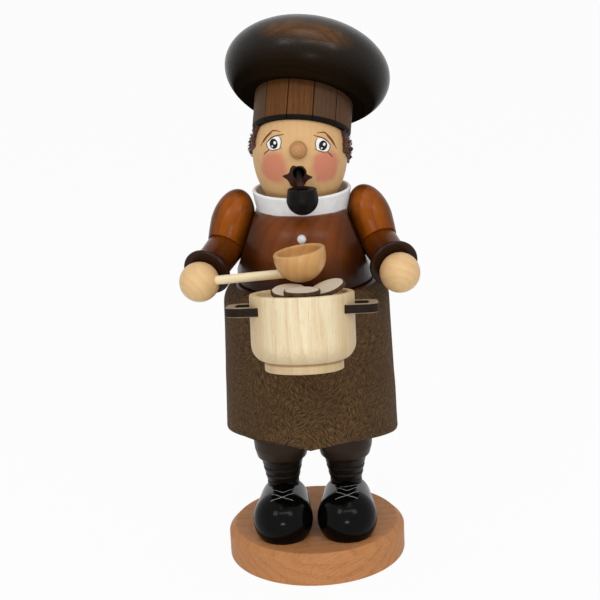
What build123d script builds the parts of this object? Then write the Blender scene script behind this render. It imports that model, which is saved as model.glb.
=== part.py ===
from build123d import *
import math
import os

# A turned wooden incense smoker: a cook with a ladle and a stock pot, on a round base.
# Millimetres. The origin is the centre of the base's underside, +Z is up and the cook faces -Y.
# The lower half (base, legs, hip, apron, pot) carries a ring spigot with an incense plate inside it.
# The upper half (jacket, arms, head, hat) is a hollow smoke chamber that lifts off that spigot.

# Driving dimensions: fits
GLUE_GAP = 0.05
SPIGOT_CLEARANCE = 0.08
SURFACE_GAP = 0.1
OVERCUT = 2.0

# Driving dimensions: base
BASE_RADIUS = 35.0
BASE_THICKNESS = 12.4
BASE_CHAMFER = 2.6

# Driving dimensions: shoes and legs
LEG_SPACING = 25.0
SHOE_TOE_RADIUS = 11.7
SHOE_HEEL_RADIUS = 9.8
SHOE_TOE_FORWARD = 14.8
SHOE_HEEL_BACK = 2.5
SHOE_AXIS_HEIGHT = 7.0
SHOE_SEAT_HEIGHT = 14.6
ANKLE_RADIUS = 6.3
CALF_RADIUS = 8.3
STOCKING_LENGTH = 12.2
BREECHES_RADIUS = 11.0
BREECHES_LENGTH = 16.8
BREECHES_FULL_AT = 8.6
BREECHES_EDGE_RADIUS = 9.7
BREECHES_EDGE_HEIGHT = 1.6
STOCKING_GROOVES = 3
GROOVE_DEPTH = 0.45
LEG_TENON_RADIUS = 5.0
LEG_TENON_LENGTH = 11.0
FOOT_DOWEL_RADIUS = 2.5
FOOT_DOWEL_IN_BASE = 8.0
FOOT_DOWEL_IN_LEG = 9.0

# Driving dimensions: hip block, spigot and incense plate
HIP_HEIGHT = 56.0
HIP_BOTTOM_RADIUS = 32.15
HIP_TOP_RADIUS = 30.4
HIP_SHOULDER_RADIUS = 9.0
HIP_SHOULDER_ANGLE = 58.0
SPIGOT_RADIUS = 18.0
SPIGOT_HEIGHT = 7.0
CUP_RADIUS = 14.5
CUP_DEPTH = 15.0
PLATE_RADIUS = 14.0
PLATE_THICKNESS = 0.6
AIR_HOLES = 3
AIR_HOLE_RADIUS = 1.9
AIR_HOLE_CIRCLE = 8.5
TACKS = 3
TACK_CIRCLE = 11.0
TACK_SHANK_RADIUS = 0.5
TACK_HEAD_RADIUS = 1.3
TACK_HEAD_HEIGHT = 0.5
TACK_LENGTH = 6.0

# Driving dimensions: leather apron
APRON_THICKNESS = 1.2
APRON_WRAP_ANGLE = 104.0
APRON_SIDE_DROP = 6.0
APRON_HEM_TILT = 9.0
APRON_TOP_ANGLE = 50.0

# Driving dimensions: pot
POT_RIM_RADIUS = 18.4
POT_HEIGHT = 27.0
POT_FOOT_RADIUS = 13.9
POT_FOOT_HEIGHT = 3.4
POT_GROOVE_DEPTH = 0.8
POT_BELLY_HEIGHT = 9.5
POT_BELLY_ROUNDING = 1.25
POT_WALL = 2.5
POT_RECESS = 2.2
POT_LEAN = 9.5
POT_RIM_ABOVE_HIP = 7.6
POT_DOWEL_RADIUS = 2.0
POT_DOWEL_IN_POT = 10.0
POT_DOWEL_IN_HIP = 9.0
POT_DOWEL_BELOW_RIM = 22.0
HANDLE_REACH = 8.2
HANDLE_WIDTH = 22.0
HANDLE_BAR = 3.4
HANDLE_CORNER = 5.5
HANDLE_THICKNESS = 3.3
HANDLE_IN_WALL = 1.5
HANDLE_BELOW_RIM = 3.95
HANDLE_PITCH_ANGLE = -2.0
SLICE_RADIUS = 6.6
SLICE_THICKNESS = 1.5
SLICE_LEFT_X = -4.4
SLICE_LEFT_Y = 1.6
SLICE_LEFT_TILT = 15.0
SLICE_RIGHT_X = 9.0
SLICE_RIGHT_Y = 1.5
SLICE_RIGHT_TILT = 16.0
SLICE_RIGHT_ROLL = 16.0
SLICE_FRONT_X = 0.4
SLICE_FRONT_Y = -6.8
SLICE_FRONT_TILT = 5.0

# Driving dimensions: jacket
JACKET_RADIUS = 25.9
JACKET_HEIGHT = 28.2
JACKET_STRAIGHT = 11.5
JACKET_NECK_RADIUS = 17.0
JACKET_CROWN = 4.4
CHAMBER_RADIUS = 15.5
SOCKET_DEPTH = 7.4
ARM_FLAT_ANGLE = 20.0
BUTTON_RADIUS = 1.65
BUTTON_DROP = 7.2
BUTTON_SEAT = 1.0

# Driving dimensions: collar, neck and head
COLLAR_LOW_RADIUS = 17.0
COLLAR_TOP_RADIUS = 18.7
COLLAR_HEIGHT = 8.6
COLLAR_WALL = 1.4
COLLAR_LEAN = 2.0
COLLAR_SINK = 1.2
NECK_RADIUS = 6.0
NECK_BORE = 3.2
NECK_IN_HEAD = 7.0
NECK_IN_JACKET = 3.6
HEAD_RADIUS = 17.75
HEAD_ABOVE_JACKET = 20.7
HEAD_FLAT_RISE = 0.3
CHIN_RADIUS = 30.0
SMOKE_BORE_RISE = 14.5
MOUTH_BORE_RADIUS = 2.3
MOUTH_ANGLE = -15.5
NOSE_RADIUS = 3.3
NOSE_OUT = 0.35
NOSE_ANGLE = 11.6
NOSE_PEG_RADIUS = 1.4
NOSE_PEG_LENGTH = 6.0

# Driving dimensions: hair and hat
HAT_BACK_ANGLE = 27.0
HAT_SIDE_ANGLE = 5.5
HAT_SEAT = 7.1
BAND_RADIUS = 18.5
BAND_HEIGHT = 15.6
BAND_EDGE = 1.1
BAND_PLEATS = 12
PLEAT_WIDTH = 0.5
PLEAT_DEPTH = 0.5
PUFF_BACK_ANGLE = 31.0
PUFF_SIDE_ANGLE = 9.1
PUFF_RADIUS = 31.4
PUFF_HALF_HEIGHT = 18.5
PUFF_CENTRE_ABOVE_BAND = 8.7
PUFF_LIP_RADIUS = 23.5
PUFF_SEAT_DROP = 2.0
HAT_DOWEL_RADIUS = 4.0
HAT_DOWEL_IN_HEAD = 5.0
HAT_DOWEL_IN_PUFF = 12.0
HAIR_THICKNESS = 1.9
HAIR_HEIGHT = 8.0
HAIR_OPENING = 130.0

# Driving dimensions: pipe
PIPE_STEM_RADIUS = 1.3
PIPE_STEM_IN_HEAD = 4.0
PIPE_STEM_BELOW_MOUTH = 2.4
PIPE_BOWL_RADIUS = 5.75
PIPE_BOWL_HEIGHT = 9.6
PIPE_RIM_RADIUS = 5.2
PIPE_BOWL_FORWARD = 26.2
PIPE_BOWL_ABOVE_JACKET = 2.2
PIPE_BOWL_SIDE = 1.0
PIPE_BORE_RADIUS = 2.4
PIPE_BORE_DEPTH = 4.5
PIPE_STEM_IN_BOWL = 1.6
PIPE_STEM_UP_BOWL = 5.8

# Driving dimensions: arms
ARMS_SIDE = -0.6
SHOULDER_OUT = 22.2
SHOULDER_ABOVE_JACKET = 7.4
ELBOW_OUT = 28.8
ELBOW_FORWARD = 3.0
ELBOW_BELOW_NECK = 13.7
SLEEVE_RADIUS = 8.2
SLEEVE_FULL_AT = 13.5
SLEEVE_LOWER_RADIUS = 7.6
SLEEVE_LOWER_BACK = 2.7
SLEEVE_TAIL_RADIUS = 6.0
ELBOW_RADIUS = 7.0
SLEEVE_FLAT_DEPTH = 6.9
SHOULDER_DOWEL_RADIUS = 2.0
SHOULDER_DOWEL_AT = 16.0
SHOULDER_DOWEL_IN_SLEEVE = 7.0
SHOULDER_DOWEL_IN_JACKET = 3.2
CUFF_RADIUS = 9.2
CUFF_LENGTH = 4.4
CUFF_FLARE_LENGTH = 3.1
CUFF_BACK_RADIUS = 7.2
WRIST_RADIUS = 6.6
HAND_RADIUS = 7.4
HAND_IN_CUFF = 1.4
WRIST_DOWEL_RADIUS = 2.0
WRIST_DOWEL_IN_HAND = 5.0
WRIST_DOWEL_IN_ARM = 4.0
LEFT_HAND_OUT = 38.0
LEFT_HAND_FORWARD = 25.0
LEFT_HAND_ABOVE_HIP = 6.7
RIGHT_HAND_OUT = 35.2
RIGHT_HAND_FORWARD = 25.0
RIGHT_HAND_ABOVE_HIP = 7.5

# Driving dimensions: ladle
LADLE_STEM_RADIUS = 1.65
LADLE_STEM_IN_HAND = 5.0
LADLE_STEM_IN_BOWL = 1.0
LADLE_RADIUS = 9.3
LADLE_DEPTH = 11.5
LADLE_WALL = 1.8
LADLE_LEAN = 8.0
LADLE_SIDE = -0.7
LADLE_FORWARD = 38.5
LADLE_RIM_ABOVE_HIP = 20.5
LADLE_STEM_BELOW_RIM = 8.0

# Heights that follow from the stack of pieces
SHOE_SEAT_Z = BASE_THICKNESS + SHOE_SEAT_HEIGHT
CALF_Z = SHOE_SEAT_Z + STOCKING_LENGTH
HIP_Z = CALF_Z + BREECHES_LENGTH
HIP_TOP_Z = HIP_Z + HIP_HEIGHT
CUP_FLOOR_Z = HIP_TOP_Z + SPIGOT_HEIGHT - CUP_DEPTH
NECK_Z = HIP_TOP_Z + JACKET_HEIGHT
NECK_LOW_Z = NECK_Z - NECK_IN_JACKET
HEAD_Z = NECK_Z + HEAD_ABOVE_JACKET
HEAD_CENTRE = Vector(0, 0, HEAD_Z)
LEG_X = LEG_SPACING / 2
CLOSED = 1e-6


def profile(start, *steps):
    """Closed face from straight steps (a point) and arcs (a point on the arc and its end)."""
    edges = []
    here = start
    for step in steps:
        if isinstance(step[0], tuple):
            edges.append(ThreePointArc(here, step[0], step[1]))
            here = step[1]
        else:
            edges.append(Line(here, step))
            here = step
    if math.dist(here, start) > CLOSED:
        edges.append(Line(here, start))
    return make_face(edges)


def turned(face, angle=360.0):
    """Solid of revolution about Z of a face drawn as (radius, height)."""
    return revolve(Plane.XZ * face, Axis.Z, angle)


def rod(start, end, radius):
    """Round rod between two points."""
    along = Vector(end) - Vector(start)
    return Plane(origin=start, z_dir=along) * extrude(Circle(radius), along.length)


def upright(radius, low, high, x=0.0, y=0.0):
    """Vertical rod from one height to another."""
    return rod((x, y, low), (x, y, high), radius)


def arc_step(centre, radius, start_angle, end_angle):
    """Outline step along an arc about a centre: the arc's middle and its end."""
    points = []
    for angle in ((start_angle + end_angle) / 2, end_angle):
        turn = math.radians(angle)
        points.append((centre[0] + radius * math.cos(turn), centre[1] + radius * math.sin(turn)))
    return tuple(points)


def keep_side(shape, origin, normal):
    """The part of a shape on the side of a plane that its normal points away from."""
    return split(shape, bisect_by=Plane(origin=origin, z_dir=normal), keep=Keep.BOTTOM)


# Base: a beech disc with a chamfered top edge and two dowel holes
def foot_dowel(x, gap=0.0):
    """Dowel that pins the base, the shoe and the leg together."""
    low = BASE_THICKNESS - FOOT_DOWEL_IN_BASE - gap
    return upright(FOOT_DOWEL_RADIUS + gap, low, SHOE_SEAT_Z + FOOT_DOWEL_IN_LEG + gap, x)


def base_disc():
    """Round base that the cook stands on."""
    disc = turned(profile(
        (0, 0),
        (BASE_RADIUS, 0),
        (BASE_RADIUS, BASE_THICKNESS - BASE_CHAMFER),
        (BASE_RADIUS - BASE_CHAMFER, BASE_THICKNESS),
        (0, BASE_THICKNESS),
    ))
    return disc - foot_dowel(-LEG_X, GLUE_GAP) - foot_dowel(LEG_X, GLUE_GAP)


# Shoes: turned pears laid on their side and sanded flat underneath
def shoe(x):
    """Shoe with a round toe, a flat sole and a seat for the leg."""
    length = SHOE_TOE_FORWARD + SHOE_HEEL_BACK
    toe = arc_step((0, 0), SHOE_TOE_RADIUS, -90, 0)
    heel = arc_step((0, length), SHOE_HEEL_RADIUS, 0, 90)
    pear = turned(profile((0, -SHOE_TOE_RADIUS), toe, (SHOE_HEEL_RADIUS, length), heel))
    axis_z = BASE_THICKNESS + SHOE_AXIS_HEIGHT
    laid = Plane(origin=(x, -SHOE_TOE_FORWARD, axis_z), z_dir=(0, 1, 0)) * pear
    flat = keep_side(laid, (0, 0, BASE_THICKNESS), (0, 0, -1))
    seat = upright(ANKLE_RADIUS + GLUE_GAP, SHOE_SEAT_Z, SHOE_SEAT_Z + SHOE_TOE_RADIUS, x)
    return flat - seat - foot_dowel(x, GLUE_GAP)


# Legs: ringed stockings under rounded breeches, with a tenon into the hip block
def leg(x):
    """One turned leg from the shoe to the hip block."""
    rise = STOCKING_LENGTH / (STOCKING_GROOVES + 1)
    slope = (CALF_RADIUS - ANKLE_RADIUS) / (STOCKING_LENGTH - rise)
    steps = [(ANKLE_RADIUS, SHOE_SEAT_Z)]
    for ring in range(1, STOCKING_GROOVES + 1):
        height = ring * rise
        radius = ANKLE_RADIUS + slope * (height - rise)
        steps.append((radius, SHOE_SEAT_Z + height - GROOVE_DEPTH))
        steps.append((radius - GROOVE_DEPTH, SHOE_SEAT_Z + height))
        steps.append((radius, SHOE_SEAT_Z + height + GROOVE_DEPTH))
    bulge = (BREECHES_RADIUS, CALF_Z + BREECHES_FULL_AT)
    outline = profile(
        (0, SHOE_SEAT_Z),
        *steps,
        (CALF_RADIUS, CALF_Z),
        (BREECHES_EDGE_RADIUS, CALF_Z + BREECHES_EDGE_HEIGHT),
        (bulge, (BREECHES_RADIUS - GROOVE_DEPTH, HIP_Z)),
        (LEG_TENON_RADIUS, HIP_Z),
        (LEG_TENON_RADIUS, HIP_Z + LEG_TENON_LENGTH),
        (0, HIP_Z + LEG_TENON_LENGTH),
    )
    return Pos(x, 0, 0) * turned(outline) - foot_dowel(x, GLUE_GAP)


# Hip block: the turned lower body, with the spigot ring and the cup for the incense plate
SHOULDER_RISE = HIP_SHOULDER_RADIUS * math.sin(math.radians(HIP_SHOULDER_ANGLE))
SHOULDER_Z = HIP_TOP_Z - SHOULDER_RISE
HIP_SLOPE = (HIP_BOTTOM_RADIUS - HIP_TOP_RADIUS) / (SHOULDER_Z - HIP_Z)


def hip_side(height, outward=0.0):
    """Radius of the hip's straight side, or of a sheet that lies on it, at a height."""
    return HIP_TOP_RADIUS + HIP_SLOPE * (SHOULDER_Z - height) + outward


def shoulder_arc(outward, start_angle, end_angle):
    """Outline step along the hip's rounded shoulder, moved outward by a thickness."""
    centre = (HIP_TOP_RADIUS - HIP_SHOULDER_RADIUS, SHOULDER_Z)
    return arc_step(centre, HIP_SHOULDER_RADIUS + outward, start_angle, end_angle)


def round_the_cup(circle, count, turn):
    """Places spread evenly on a circle round the cup's axis."""
    return [Rot(0, 0, turn + index * 360 / count) * Pos(circle, 0, 0) for index in range(count)]


def air_bores(radius, low, high):
    """Air bores that feed the incense from under the hip block."""
    return [place * upright(radius, low, high) for place in round_the_cup(AIR_HOLE_CIRCLE, AIR_HOLES, 90)]


PLATE_TOP_Z = CUP_FLOOR_Z + PLATE_THICKNESS


def tacks(gap=0.0):
    """Round-headed tacks that hold the incense plate down."""
    outline = profile(
        (0, PLATE_TOP_Z - TACK_LENGTH - gap),
        (TACK_SHANK_RADIUS + gap, PLATE_TOP_Z - TACK_LENGTH - gap),
        (TACK_SHANK_RADIUS + gap, PLATE_TOP_Z),
        (TACK_HEAD_RADIUS, PLATE_TOP_Z),
        (TACK_HEAD_RADIUS, PLATE_TOP_Z + TACK_HEAD_HEIGHT),
        (0, PLATE_TOP_Z + TACK_HEAD_HEIGHT),
    )
    return [place * turned(outline) for place in round_the_cup(TACK_CIRCLE, TACKS, 30)]


def incense_plate():
    """Brass plate that the incense cone burns on."""
    plate = upright(PLATE_RADIUS, CUP_FLOOR_Z, PLATE_TOP_Z)
    for hole in air_bores(AIR_HOLE_RADIUS, CUP_FLOOR_Z - OVERCUT, PLATE_TOP_Z + OVERCUT) + tacks(GLUE_GAP):
        plate -= hole
    return plate


def hip_turning():
    """Lower body with tenon holes, air bores, spigot and cup."""
    block = turned(profile(
        (0, HIP_Z),
        (HIP_BOTTOM_RADIUS, HIP_Z),
        (HIP_TOP_RADIUS, SHOULDER_Z),
        shoulder_arc(0.0, 0, HIP_SHOULDER_ANGLE),
        (SPIGOT_RADIUS, HIP_TOP_Z),
        (SPIGOT_RADIUS, HIP_TOP_Z + SPIGOT_HEIGHT),
        (CUP_RADIUS, HIP_TOP_Z + SPIGOT_HEIGHT),
        (CUP_RADIUS, CUP_FLOOR_Z),
        (0, CUP_FLOOR_Z),
    ))
    holes = air_bores(AIR_HOLE_RADIUS, HIP_Z - OVERCUT, CUP_FLOOR_Z + OVERCUT) + tacks(GLUE_GAP)
    for x in (-LEG_X, LEG_X):
        top = HIP_Z + LEG_TENON_LENGTH + GLUE_GAP
        holes.append(upright(LEG_TENON_RADIUS + GLUE_GAP, HIP_Z - OVERCUT, top, x))
    for hole in holes:
        block -= hole
    return block - pot_dowel(GLUE_GAP)


def hip_block():
    """Solid part of the lower body, up to the cup's floor."""
    return keep_side(hip_turning(), (0, 0, CUP_FLOOR_Z), (0, 0, 1))


def hip_ring():
    """Open part of the lower body, with the shoulder and spigot round the cup."""
    return keep_side(hip_turning(), (0, 0, CUP_FLOOR_Z), (0, 0, -1))


# Apron: one leather sheet wrapped round the front and sides of the hip block
def apron():
    """Leather apron that follows the hip, with a hem that rises to the front."""
    inner = GLUE_GAP
    outer = GLUE_GAP + APRON_THICKNESS
    tilt = math.radians(APRON_HEM_TILT)
    low_z = HIP_Z - APRON_SIDE_DROP - 2 * HIP_BOTTOM_RADIUS * math.tan(tilt)
    inner_top = shoulder_arc(inner, APRON_TOP_ANGLE, 0)
    outer_end = shoulder_arc(outer, 0, APRON_TOP_ANGLE)
    inner_start = shoulder_arc(inner, APRON_TOP_ANGLE, APRON_TOP_ANGLE)[1]
    sheet = profile(
        (hip_side(low_z, inner), low_z),
        (hip_side(low_z, outer), low_z),
        (HIP_TOP_RADIUS + outer, SHOULDER_Z),
        outer_end,
        inner_start,
        inner_top,
    )
    wrapped = turned(sheet, 2 * APRON_WRAP_ANGLE)
    turn_to_front = Rot(0, 0, -90 - APRON_WRAP_ANGLE)
    hem_normal = (0, -math.sin(tilt), -math.cos(tilt))
    hem = keep_side(turn_to_front * wrapped, (0, 0, HIP_Z - APRON_SIDE_DROP), hem_normal)
    return hem - pot_dowel(GLUE_GAP)


# Pot: a turned stock pot that leans back against the apron, with two loop handles
POT_LEAN_ANGLE = math.radians(POT_LEAN)
POT_AXIS = Vector(0, math.sin(POT_LEAN_ANGLE), math.cos(POT_LEAN_ANGLE))
POT_RIM_Z = HIP_TOP_Z + POT_RIM_ABOVE_HIP
POT_TOUCH_Z = SHOULDER_Z
POT_BACK_Y = -(HIP_TOP_RADIUS + GLUE_GAP + APRON_THICKNESS + SURFACE_GAP)
POT_TOUCH_AXIS_Y = POT_BACK_Y - POT_RIM_RADIUS / math.cos(POT_LEAN_ANGLE)
POT_RIM_Y = POT_TOUCH_AXIS_Y + (POT_RIM_Z - POT_TOUCH_Z) * math.tan(POT_LEAN_ANGLE)
POT_RIM = Vector(0, POT_RIM_Y, POT_RIM_Z)
POT_FRAME = Plane(origin=POT_RIM, x_dir=(1, 0, 0), z_dir=POT_AXIS)
POT_DOWEL_Z = POT_RIM_Z - POT_DOWEL_BELOW_RIM


def pot_dowel(gap=0.0):
    """Dowel that carries the pot on the hip block."""
    start = POT_BACK_Y - POT_DOWEL_IN_POT - gap
    end = POT_BACK_Y + APRON_THICKNESS + POT_DOWEL_IN_HIP + gap
    return rod((0, start, POT_DOWEL_Z), (0, end, POT_DOWEL_Z), POT_DOWEL_RADIUS + gap)


def tongue(start, end, half, corner):
    """Flat strip along X with its two far corners rounded."""
    return profile(
        (start, -half),
        (end - corner, -half),
        arc_step((end - corner, corner - half), corner, -90, 0),
        (end, half - corner),
        arc_step((end - corner, half - corner), corner, 0, 90),
        (start, half),
    )


def pot_handle(side, gap=0.0):
    """Loop handle cut from thin plywood, with two tails let into the pot's wall."""
    half = HANDLE_WIDTH / 2
    inside = math.sqrt(POT_RIM_RADIUS ** 2 - half ** 2) - HANDLE_IN_WALL - gap
    reach = POT_RIM_RADIUS + HANDLE_REACH
    outer = tongue(inside, reach, half + gap, HANDLE_CORNER)
    hole = tongue(
        inside - OVERCUT, reach - HANDLE_BAR, half - HANDLE_BAR - gap, HANDLE_CORNER - HANDLE_BAR)
    plate = extrude(outer - hole, HANDLE_THICKNESS / 2 + gap, both=True)
    level = Pos(0, 0, -HANDLE_BELOW_RIM - HANDLE_THICKNESS / 2) * Rot(HANDLE_PITCH_ANGLE, 0, 0)
    mirrored = plate if side > 0 else mirror(plate, about=Plane.YZ)
    return POT_FRAME * level * mirrored


def pot():
    """Turned pot with a foot, a groove above it and a shallow recess for the slices."""
    foot = -POT_HEIGHT
    neck_z = foot + POT_FOOT_HEIGHT
    belly_z = foot + POT_BELLY_HEIGHT
    bulge = (POT_RIM_RADIUS - POT_BELLY_ROUNDING, (neck_z + belly_z) / 2 + POT_GROOVE_DEPTH / 2)
    body = turned(profile(
        (0, foot),
        (POT_FOOT_RADIUS, foot),
        (POT_FOOT_RADIUS, neck_z - POT_GROOVE_DEPTH),
        (POT_FOOT_RADIUS - POT_GROOVE_DEPTH, neck_z),
        (bulge, (POT_RIM_RADIUS, belly_z)),
        (POT_RIM_RADIUS, 0),
        (POT_RIM_RADIUS - POT_WALL, 0),
        (POT_RIM_RADIUS - POT_WALL, -POT_RECESS),
        (0, -POT_RECESS),
    ))
    placed = POT_FRAME * body
    for side in (-1, 1):
        placed -= pot_handle(side, GLUE_GAP)
    return placed - pot_dowel(GLUE_GAP)


# Slices: two branch slices lean on the floor of the pot's recess and a third lies across them
def branch_slice(x, y, z, lean):
    """Branch slice at a place above the pot's rim, leaned by a rotation."""
    disc = extrude(Circle(SLICE_RADIUS), SLICE_THICKNESS / 2, both=True)
    return POT_FRAME * Pos(x, y, z) * lean * disc


def leaning_slice(x, y, tilt, roll):
    """Slice whose lowest edge rests on the floor of the recess."""
    upright_share = math.cos(math.radians(tilt)) * math.cos(math.radians(roll))
    edge_drop = SLICE_RADIUS * math.sqrt(1 - upright_share ** 2)
    rise = edge_drop + SLICE_THICKNESS / 2 * upright_share
    return branch_slice(x, y, rise + GLUE_GAP - POT_RECESS, Rot(tilt, -roll, 0))


def crossing_slice(under):
    """Slice let down along the pot's axis until it is just clear of the pieces under it."""
    lean = Rot(SLICE_FRONT_TILT, 0, 0)
    disc = branch_slice(SLICE_FRONT_X, SLICE_FRONT_Y, 2 * SLICE_RADIUS, lean)
    clear = min(disc.distance_to(piece) for piece in under)
    while clear > SURFACE_GAP:
        disc = Pos(POT_AXIS * (SURFACE_GAP / 2 - clear)) * disc
        clear = min(disc.distance_to(piece) for piece in under)
    return disc


# Jacket: hollow turned torso, open below, with flats for the arms
FLAT_TURN = math.radians(ARM_FLAT_ANGLE)
ELBOW_Z = NECK_Z - ELBOW_BELOW_NECK
SHOULDER_TOP_Z = NECK_Z + SHOULDER_ABOVE_JACKET


def shoulder_point(side):
    """Top end of a sleeve's axis."""
    return Vector(ARMS_SIDE + side * SHOULDER_OUT, 0, SHOULDER_TOP_Z)


def elbow_point(side):
    """Lower end of a sleeve's axis, where the forearm starts."""
    return Vector(ARMS_SIDE + side * ELBOW_OUT, -ELBOW_FORWARD, ELBOW_Z)


def flat_normal(side):
    """Outward normal of the flat that a sleeve is glued to."""
    return Vector(side * math.cos(FLAT_TURN), 0, math.sin(FLAT_TURN))


def flat_point(side):
    """Point on the flat beside the fullest part of the sleeve."""
    along = (elbow_point(side) - shoulder_point(side)).normalized()
    return shoulder_point(side) + along * SLEEVE_FULL_AT - flat_normal(side) * SLEEVE_FLAT_DEPTH


def shoulder_dowel(side, gap=0.0):
    """Dowel through the flat between the jacket and a sleeve."""
    normal = flat_normal(side)
    along = (elbow_point(side) - shoulder_point(side)).normalized()
    beside = shoulder_point(side) + along * SHOULDER_DOWEL_AT
    foot = beside - normal * (beside - flat_point(side)).dot(normal)
    start = foot - normal * (SHOULDER_DOWEL_IN_JACKET + gap)
    end = foot + normal * (SHOULDER_DOWEL_IN_SLEEVE + gap)
    return rod(start, end, SHOULDER_DOWEL_RADIUS + gap)


JACKET_ROUND = JACKET_HEIGHT - JACKET_STRAIGHT
BUTTON_Z = NECK_Z - BUTTON_DROP
BUTTON_SHARE = (JACKET_ROUND - BUTTON_DROP) / JACKET_ROUND
BUTTON_Y = -(JACKET_NECK_RADIUS
             + (JACKET_RADIUS - JACKET_NECK_RADIUS) * math.sqrt(1 - BUTTON_SHARE ** 2))


def button(gap=0.0):
    """White half-ball button on the jacket's front."""
    dome = arc_step((0, BUTTON_SEAT), BUTTON_RADIUS + gap, 0, 90)
    stud = turned(profile((0, -gap), (BUTTON_RADIUS + gap, -gap), (BUTTON_RADIUS + gap, BUTTON_SEAT), dome))
    return Plane(origin=(0, BUTTON_Y + BUTTON_SEAT, BUTTON_Z), z_dir=(0, -1, 0)) * stud


def jacket():
    """Smoke chamber with a socket below and a bore to the head above."""
    straight_z = HIP_TOP_Z + JACKET_STRAIGHT
    rounding = EllipticalCenterArc(
        (JACKET_NECK_RADIUS, straight_z), JACKET_RADIUS - JACKET_NECK_RADIUS, JACKET_ROUND, arc_size=90)
    shell = make_face([
        Line((0, HIP_TOP_Z), (JACKET_RADIUS, HIP_TOP_Z)),
        Line((JACKET_RADIUS, HIP_TOP_Z), (JACKET_RADIUS, straight_z)),
        rounding,
        Line((JACKET_NECK_RADIUS, NECK_Z), (0, NECK_Z)),
        Line((0, NECK_Z), (0, HIP_TOP_Z)),
    ])
    torso = turned(shell)
    socket_top = HIP_TOP_Z + SOCKET_DEPTH
    torso -= upright(SPIGOT_RADIUS + SPIGOT_CLEARANCE, HIP_TOP_Z - OVERCUT, socket_top)
    torso -= upright(CHAMBER_RADIUS, HIP_TOP_Z, NECK_Z - JACKET_CROWN)
    torso -= upright(NECK_BORE, HIP_TOP_Z, NECK_Z + OVERCUT)
    torso -= upright(NECK_RADIUS + GLUE_GAP, NECK_LOW_Z, NECK_Z + OVERCUT)
    for side in (-1, 1):
        torso = keep_side(torso, flat_point(side), flat_normal(side))
        torso -= shoulder_dowel(side, GLUE_GAP)
    return torso - collar_envelope() - button(GLUE_GAP)


# Collar: a white flared ring that leans forward round the neck
COLLAR_FRAME = Plane(origin=(0, 0, NECK_Z - COLLAR_SINK)) * Rot(COLLAR_LEAN, 0, 0)


def collar():
    """Flared white collar ring."""
    return COLLAR_FRAME * turned(profile(
        (COLLAR_LOW_RADIUS - COLLAR_WALL, 0),
        (COLLAR_LOW_RADIUS, 0),
        (COLLAR_TOP_RADIUS, COLLAR_HEIGHT),
        (COLLAR_TOP_RADIUS - COLLAR_WALL, COLLAR_HEIGHT),
    ))


def collar_envelope():
    """Seat that the collar is let into on top of the jacket."""
    return COLLAR_FRAME * turned(profile(
        (0, -GLUE_GAP),
        (COLLAR_LOW_RADIUS + GLUE_GAP, -GLUE_GAP),
        (COLLAR_TOP_RADIUS + SURFACE_GAP, COLLAR_HEIGHT),
        (COLLAR_TOP_RADIUS + SURFACE_GAP, COLLAR_HEIGHT + OVERCUT),
        (0, COLLAR_HEIGHT + OVERCUT),
    ))


# Neck and head: a bored dowel, and a ball with the smoke way to the mouth
HEAD_BOTTOM_Z = HEAD_Z - HEAD_RADIUS
HEAD_FLAT_Z = NECK_Z + HEAD_FLAT_RISE
NECK_TOP_Z = HEAD_BOTTOM_Z + NECK_IN_HEAD


def neck_tube():
    """Bored dowel that leads the smoke from the jacket into the head."""
    bore = upright(NECK_BORE, NECK_LOW_Z - OVERCUT, NECK_TOP_Z + OVERCUT)
    return upright(NECK_RADIUS, NECK_LOW_Z, NECK_TOP_Z) - bore


def face_direction(angle):
    """Direction from the head's centre to the front, raised by an angle."""
    turn = math.radians(angle)
    return Vector(0, -math.cos(turn), math.sin(turn))


MOUTH_POINT = HEAD_CENTRE + face_direction(MOUTH_ANGLE) * HEAD_RADIUS
SMOKE_TOP = Vector(0, 0, HEAD_BOTTOM_Z + SMOKE_BORE_RISE)


def nose(gap=0.0):
    """Ball nose with a peg into the head."""
    direction = face_direction(NOSE_ANGLE)
    centre = HEAD_CENTRE + direction * (HEAD_RADIUS + NOSE_OUT)
    ball = Pos(centre) * Sphere(NOSE_RADIUS + gap)
    peg_end = HEAD_CENTRE + direction * (HEAD_RADIUS - NOSE_PEG_LENGTH - gap)
    return ball + rod(centre, peg_end, NOSE_PEG_RADIUS + gap)


def tilted_axis(back, side):
    """Upright direction that is tilted to the back and to the figure's left side."""
    back_turn = math.radians(back)
    side_turn = math.radians(side)
    return Vector(
        math.sin(side_turn),
        math.sin(back_turn) * math.cos(side_turn),
        math.cos(back_turn) * math.cos(side_turn),
    )


HAT_AXIS = tilted_axis(HAT_BACK_ANGLE, HAT_SIDE_ANGLE)
HAT_FRAME = Plane(origin=HEAD_CENTRE + HAT_AXIS * HAT_SEAT, x_dir=(1, 0, 0), z_dir=HAT_AXIS)
PUFF_FRAME = Plane(
    origin=HAT_FRAME.origin + HAT_AXIS * BAND_HEIGHT,
    x_dir=(1, 0, 0),
    z_dir=tilted_axis(PUFF_BACK_ANGLE, PUFF_SIDE_ANGLE),
)


def head_turning(gap=0.0):
    """Ball that goes over into a fuller chin, with a flat below it."""
    chin_centre = (HEAD_RADIUS - CHIN_RADIUS, HEAD_Z)
    flat_angle = math.degrees(math.asin((HEAD_FLAT_Z - gap - HEAD_Z) / (CHIN_RADIUS + gap)))
    return turned(profile(
        (0, HEAD_Z + HEAD_RADIUS + gap),
        arc_step((0, HEAD_Z), HEAD_RADIUS + gap, 90, 0),
        arc_step(chin_centre, CHIN_RADIUS + gap, 0, flat_angle),
        (0, HEAD_FLAT_Z - gap),
    ))


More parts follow.
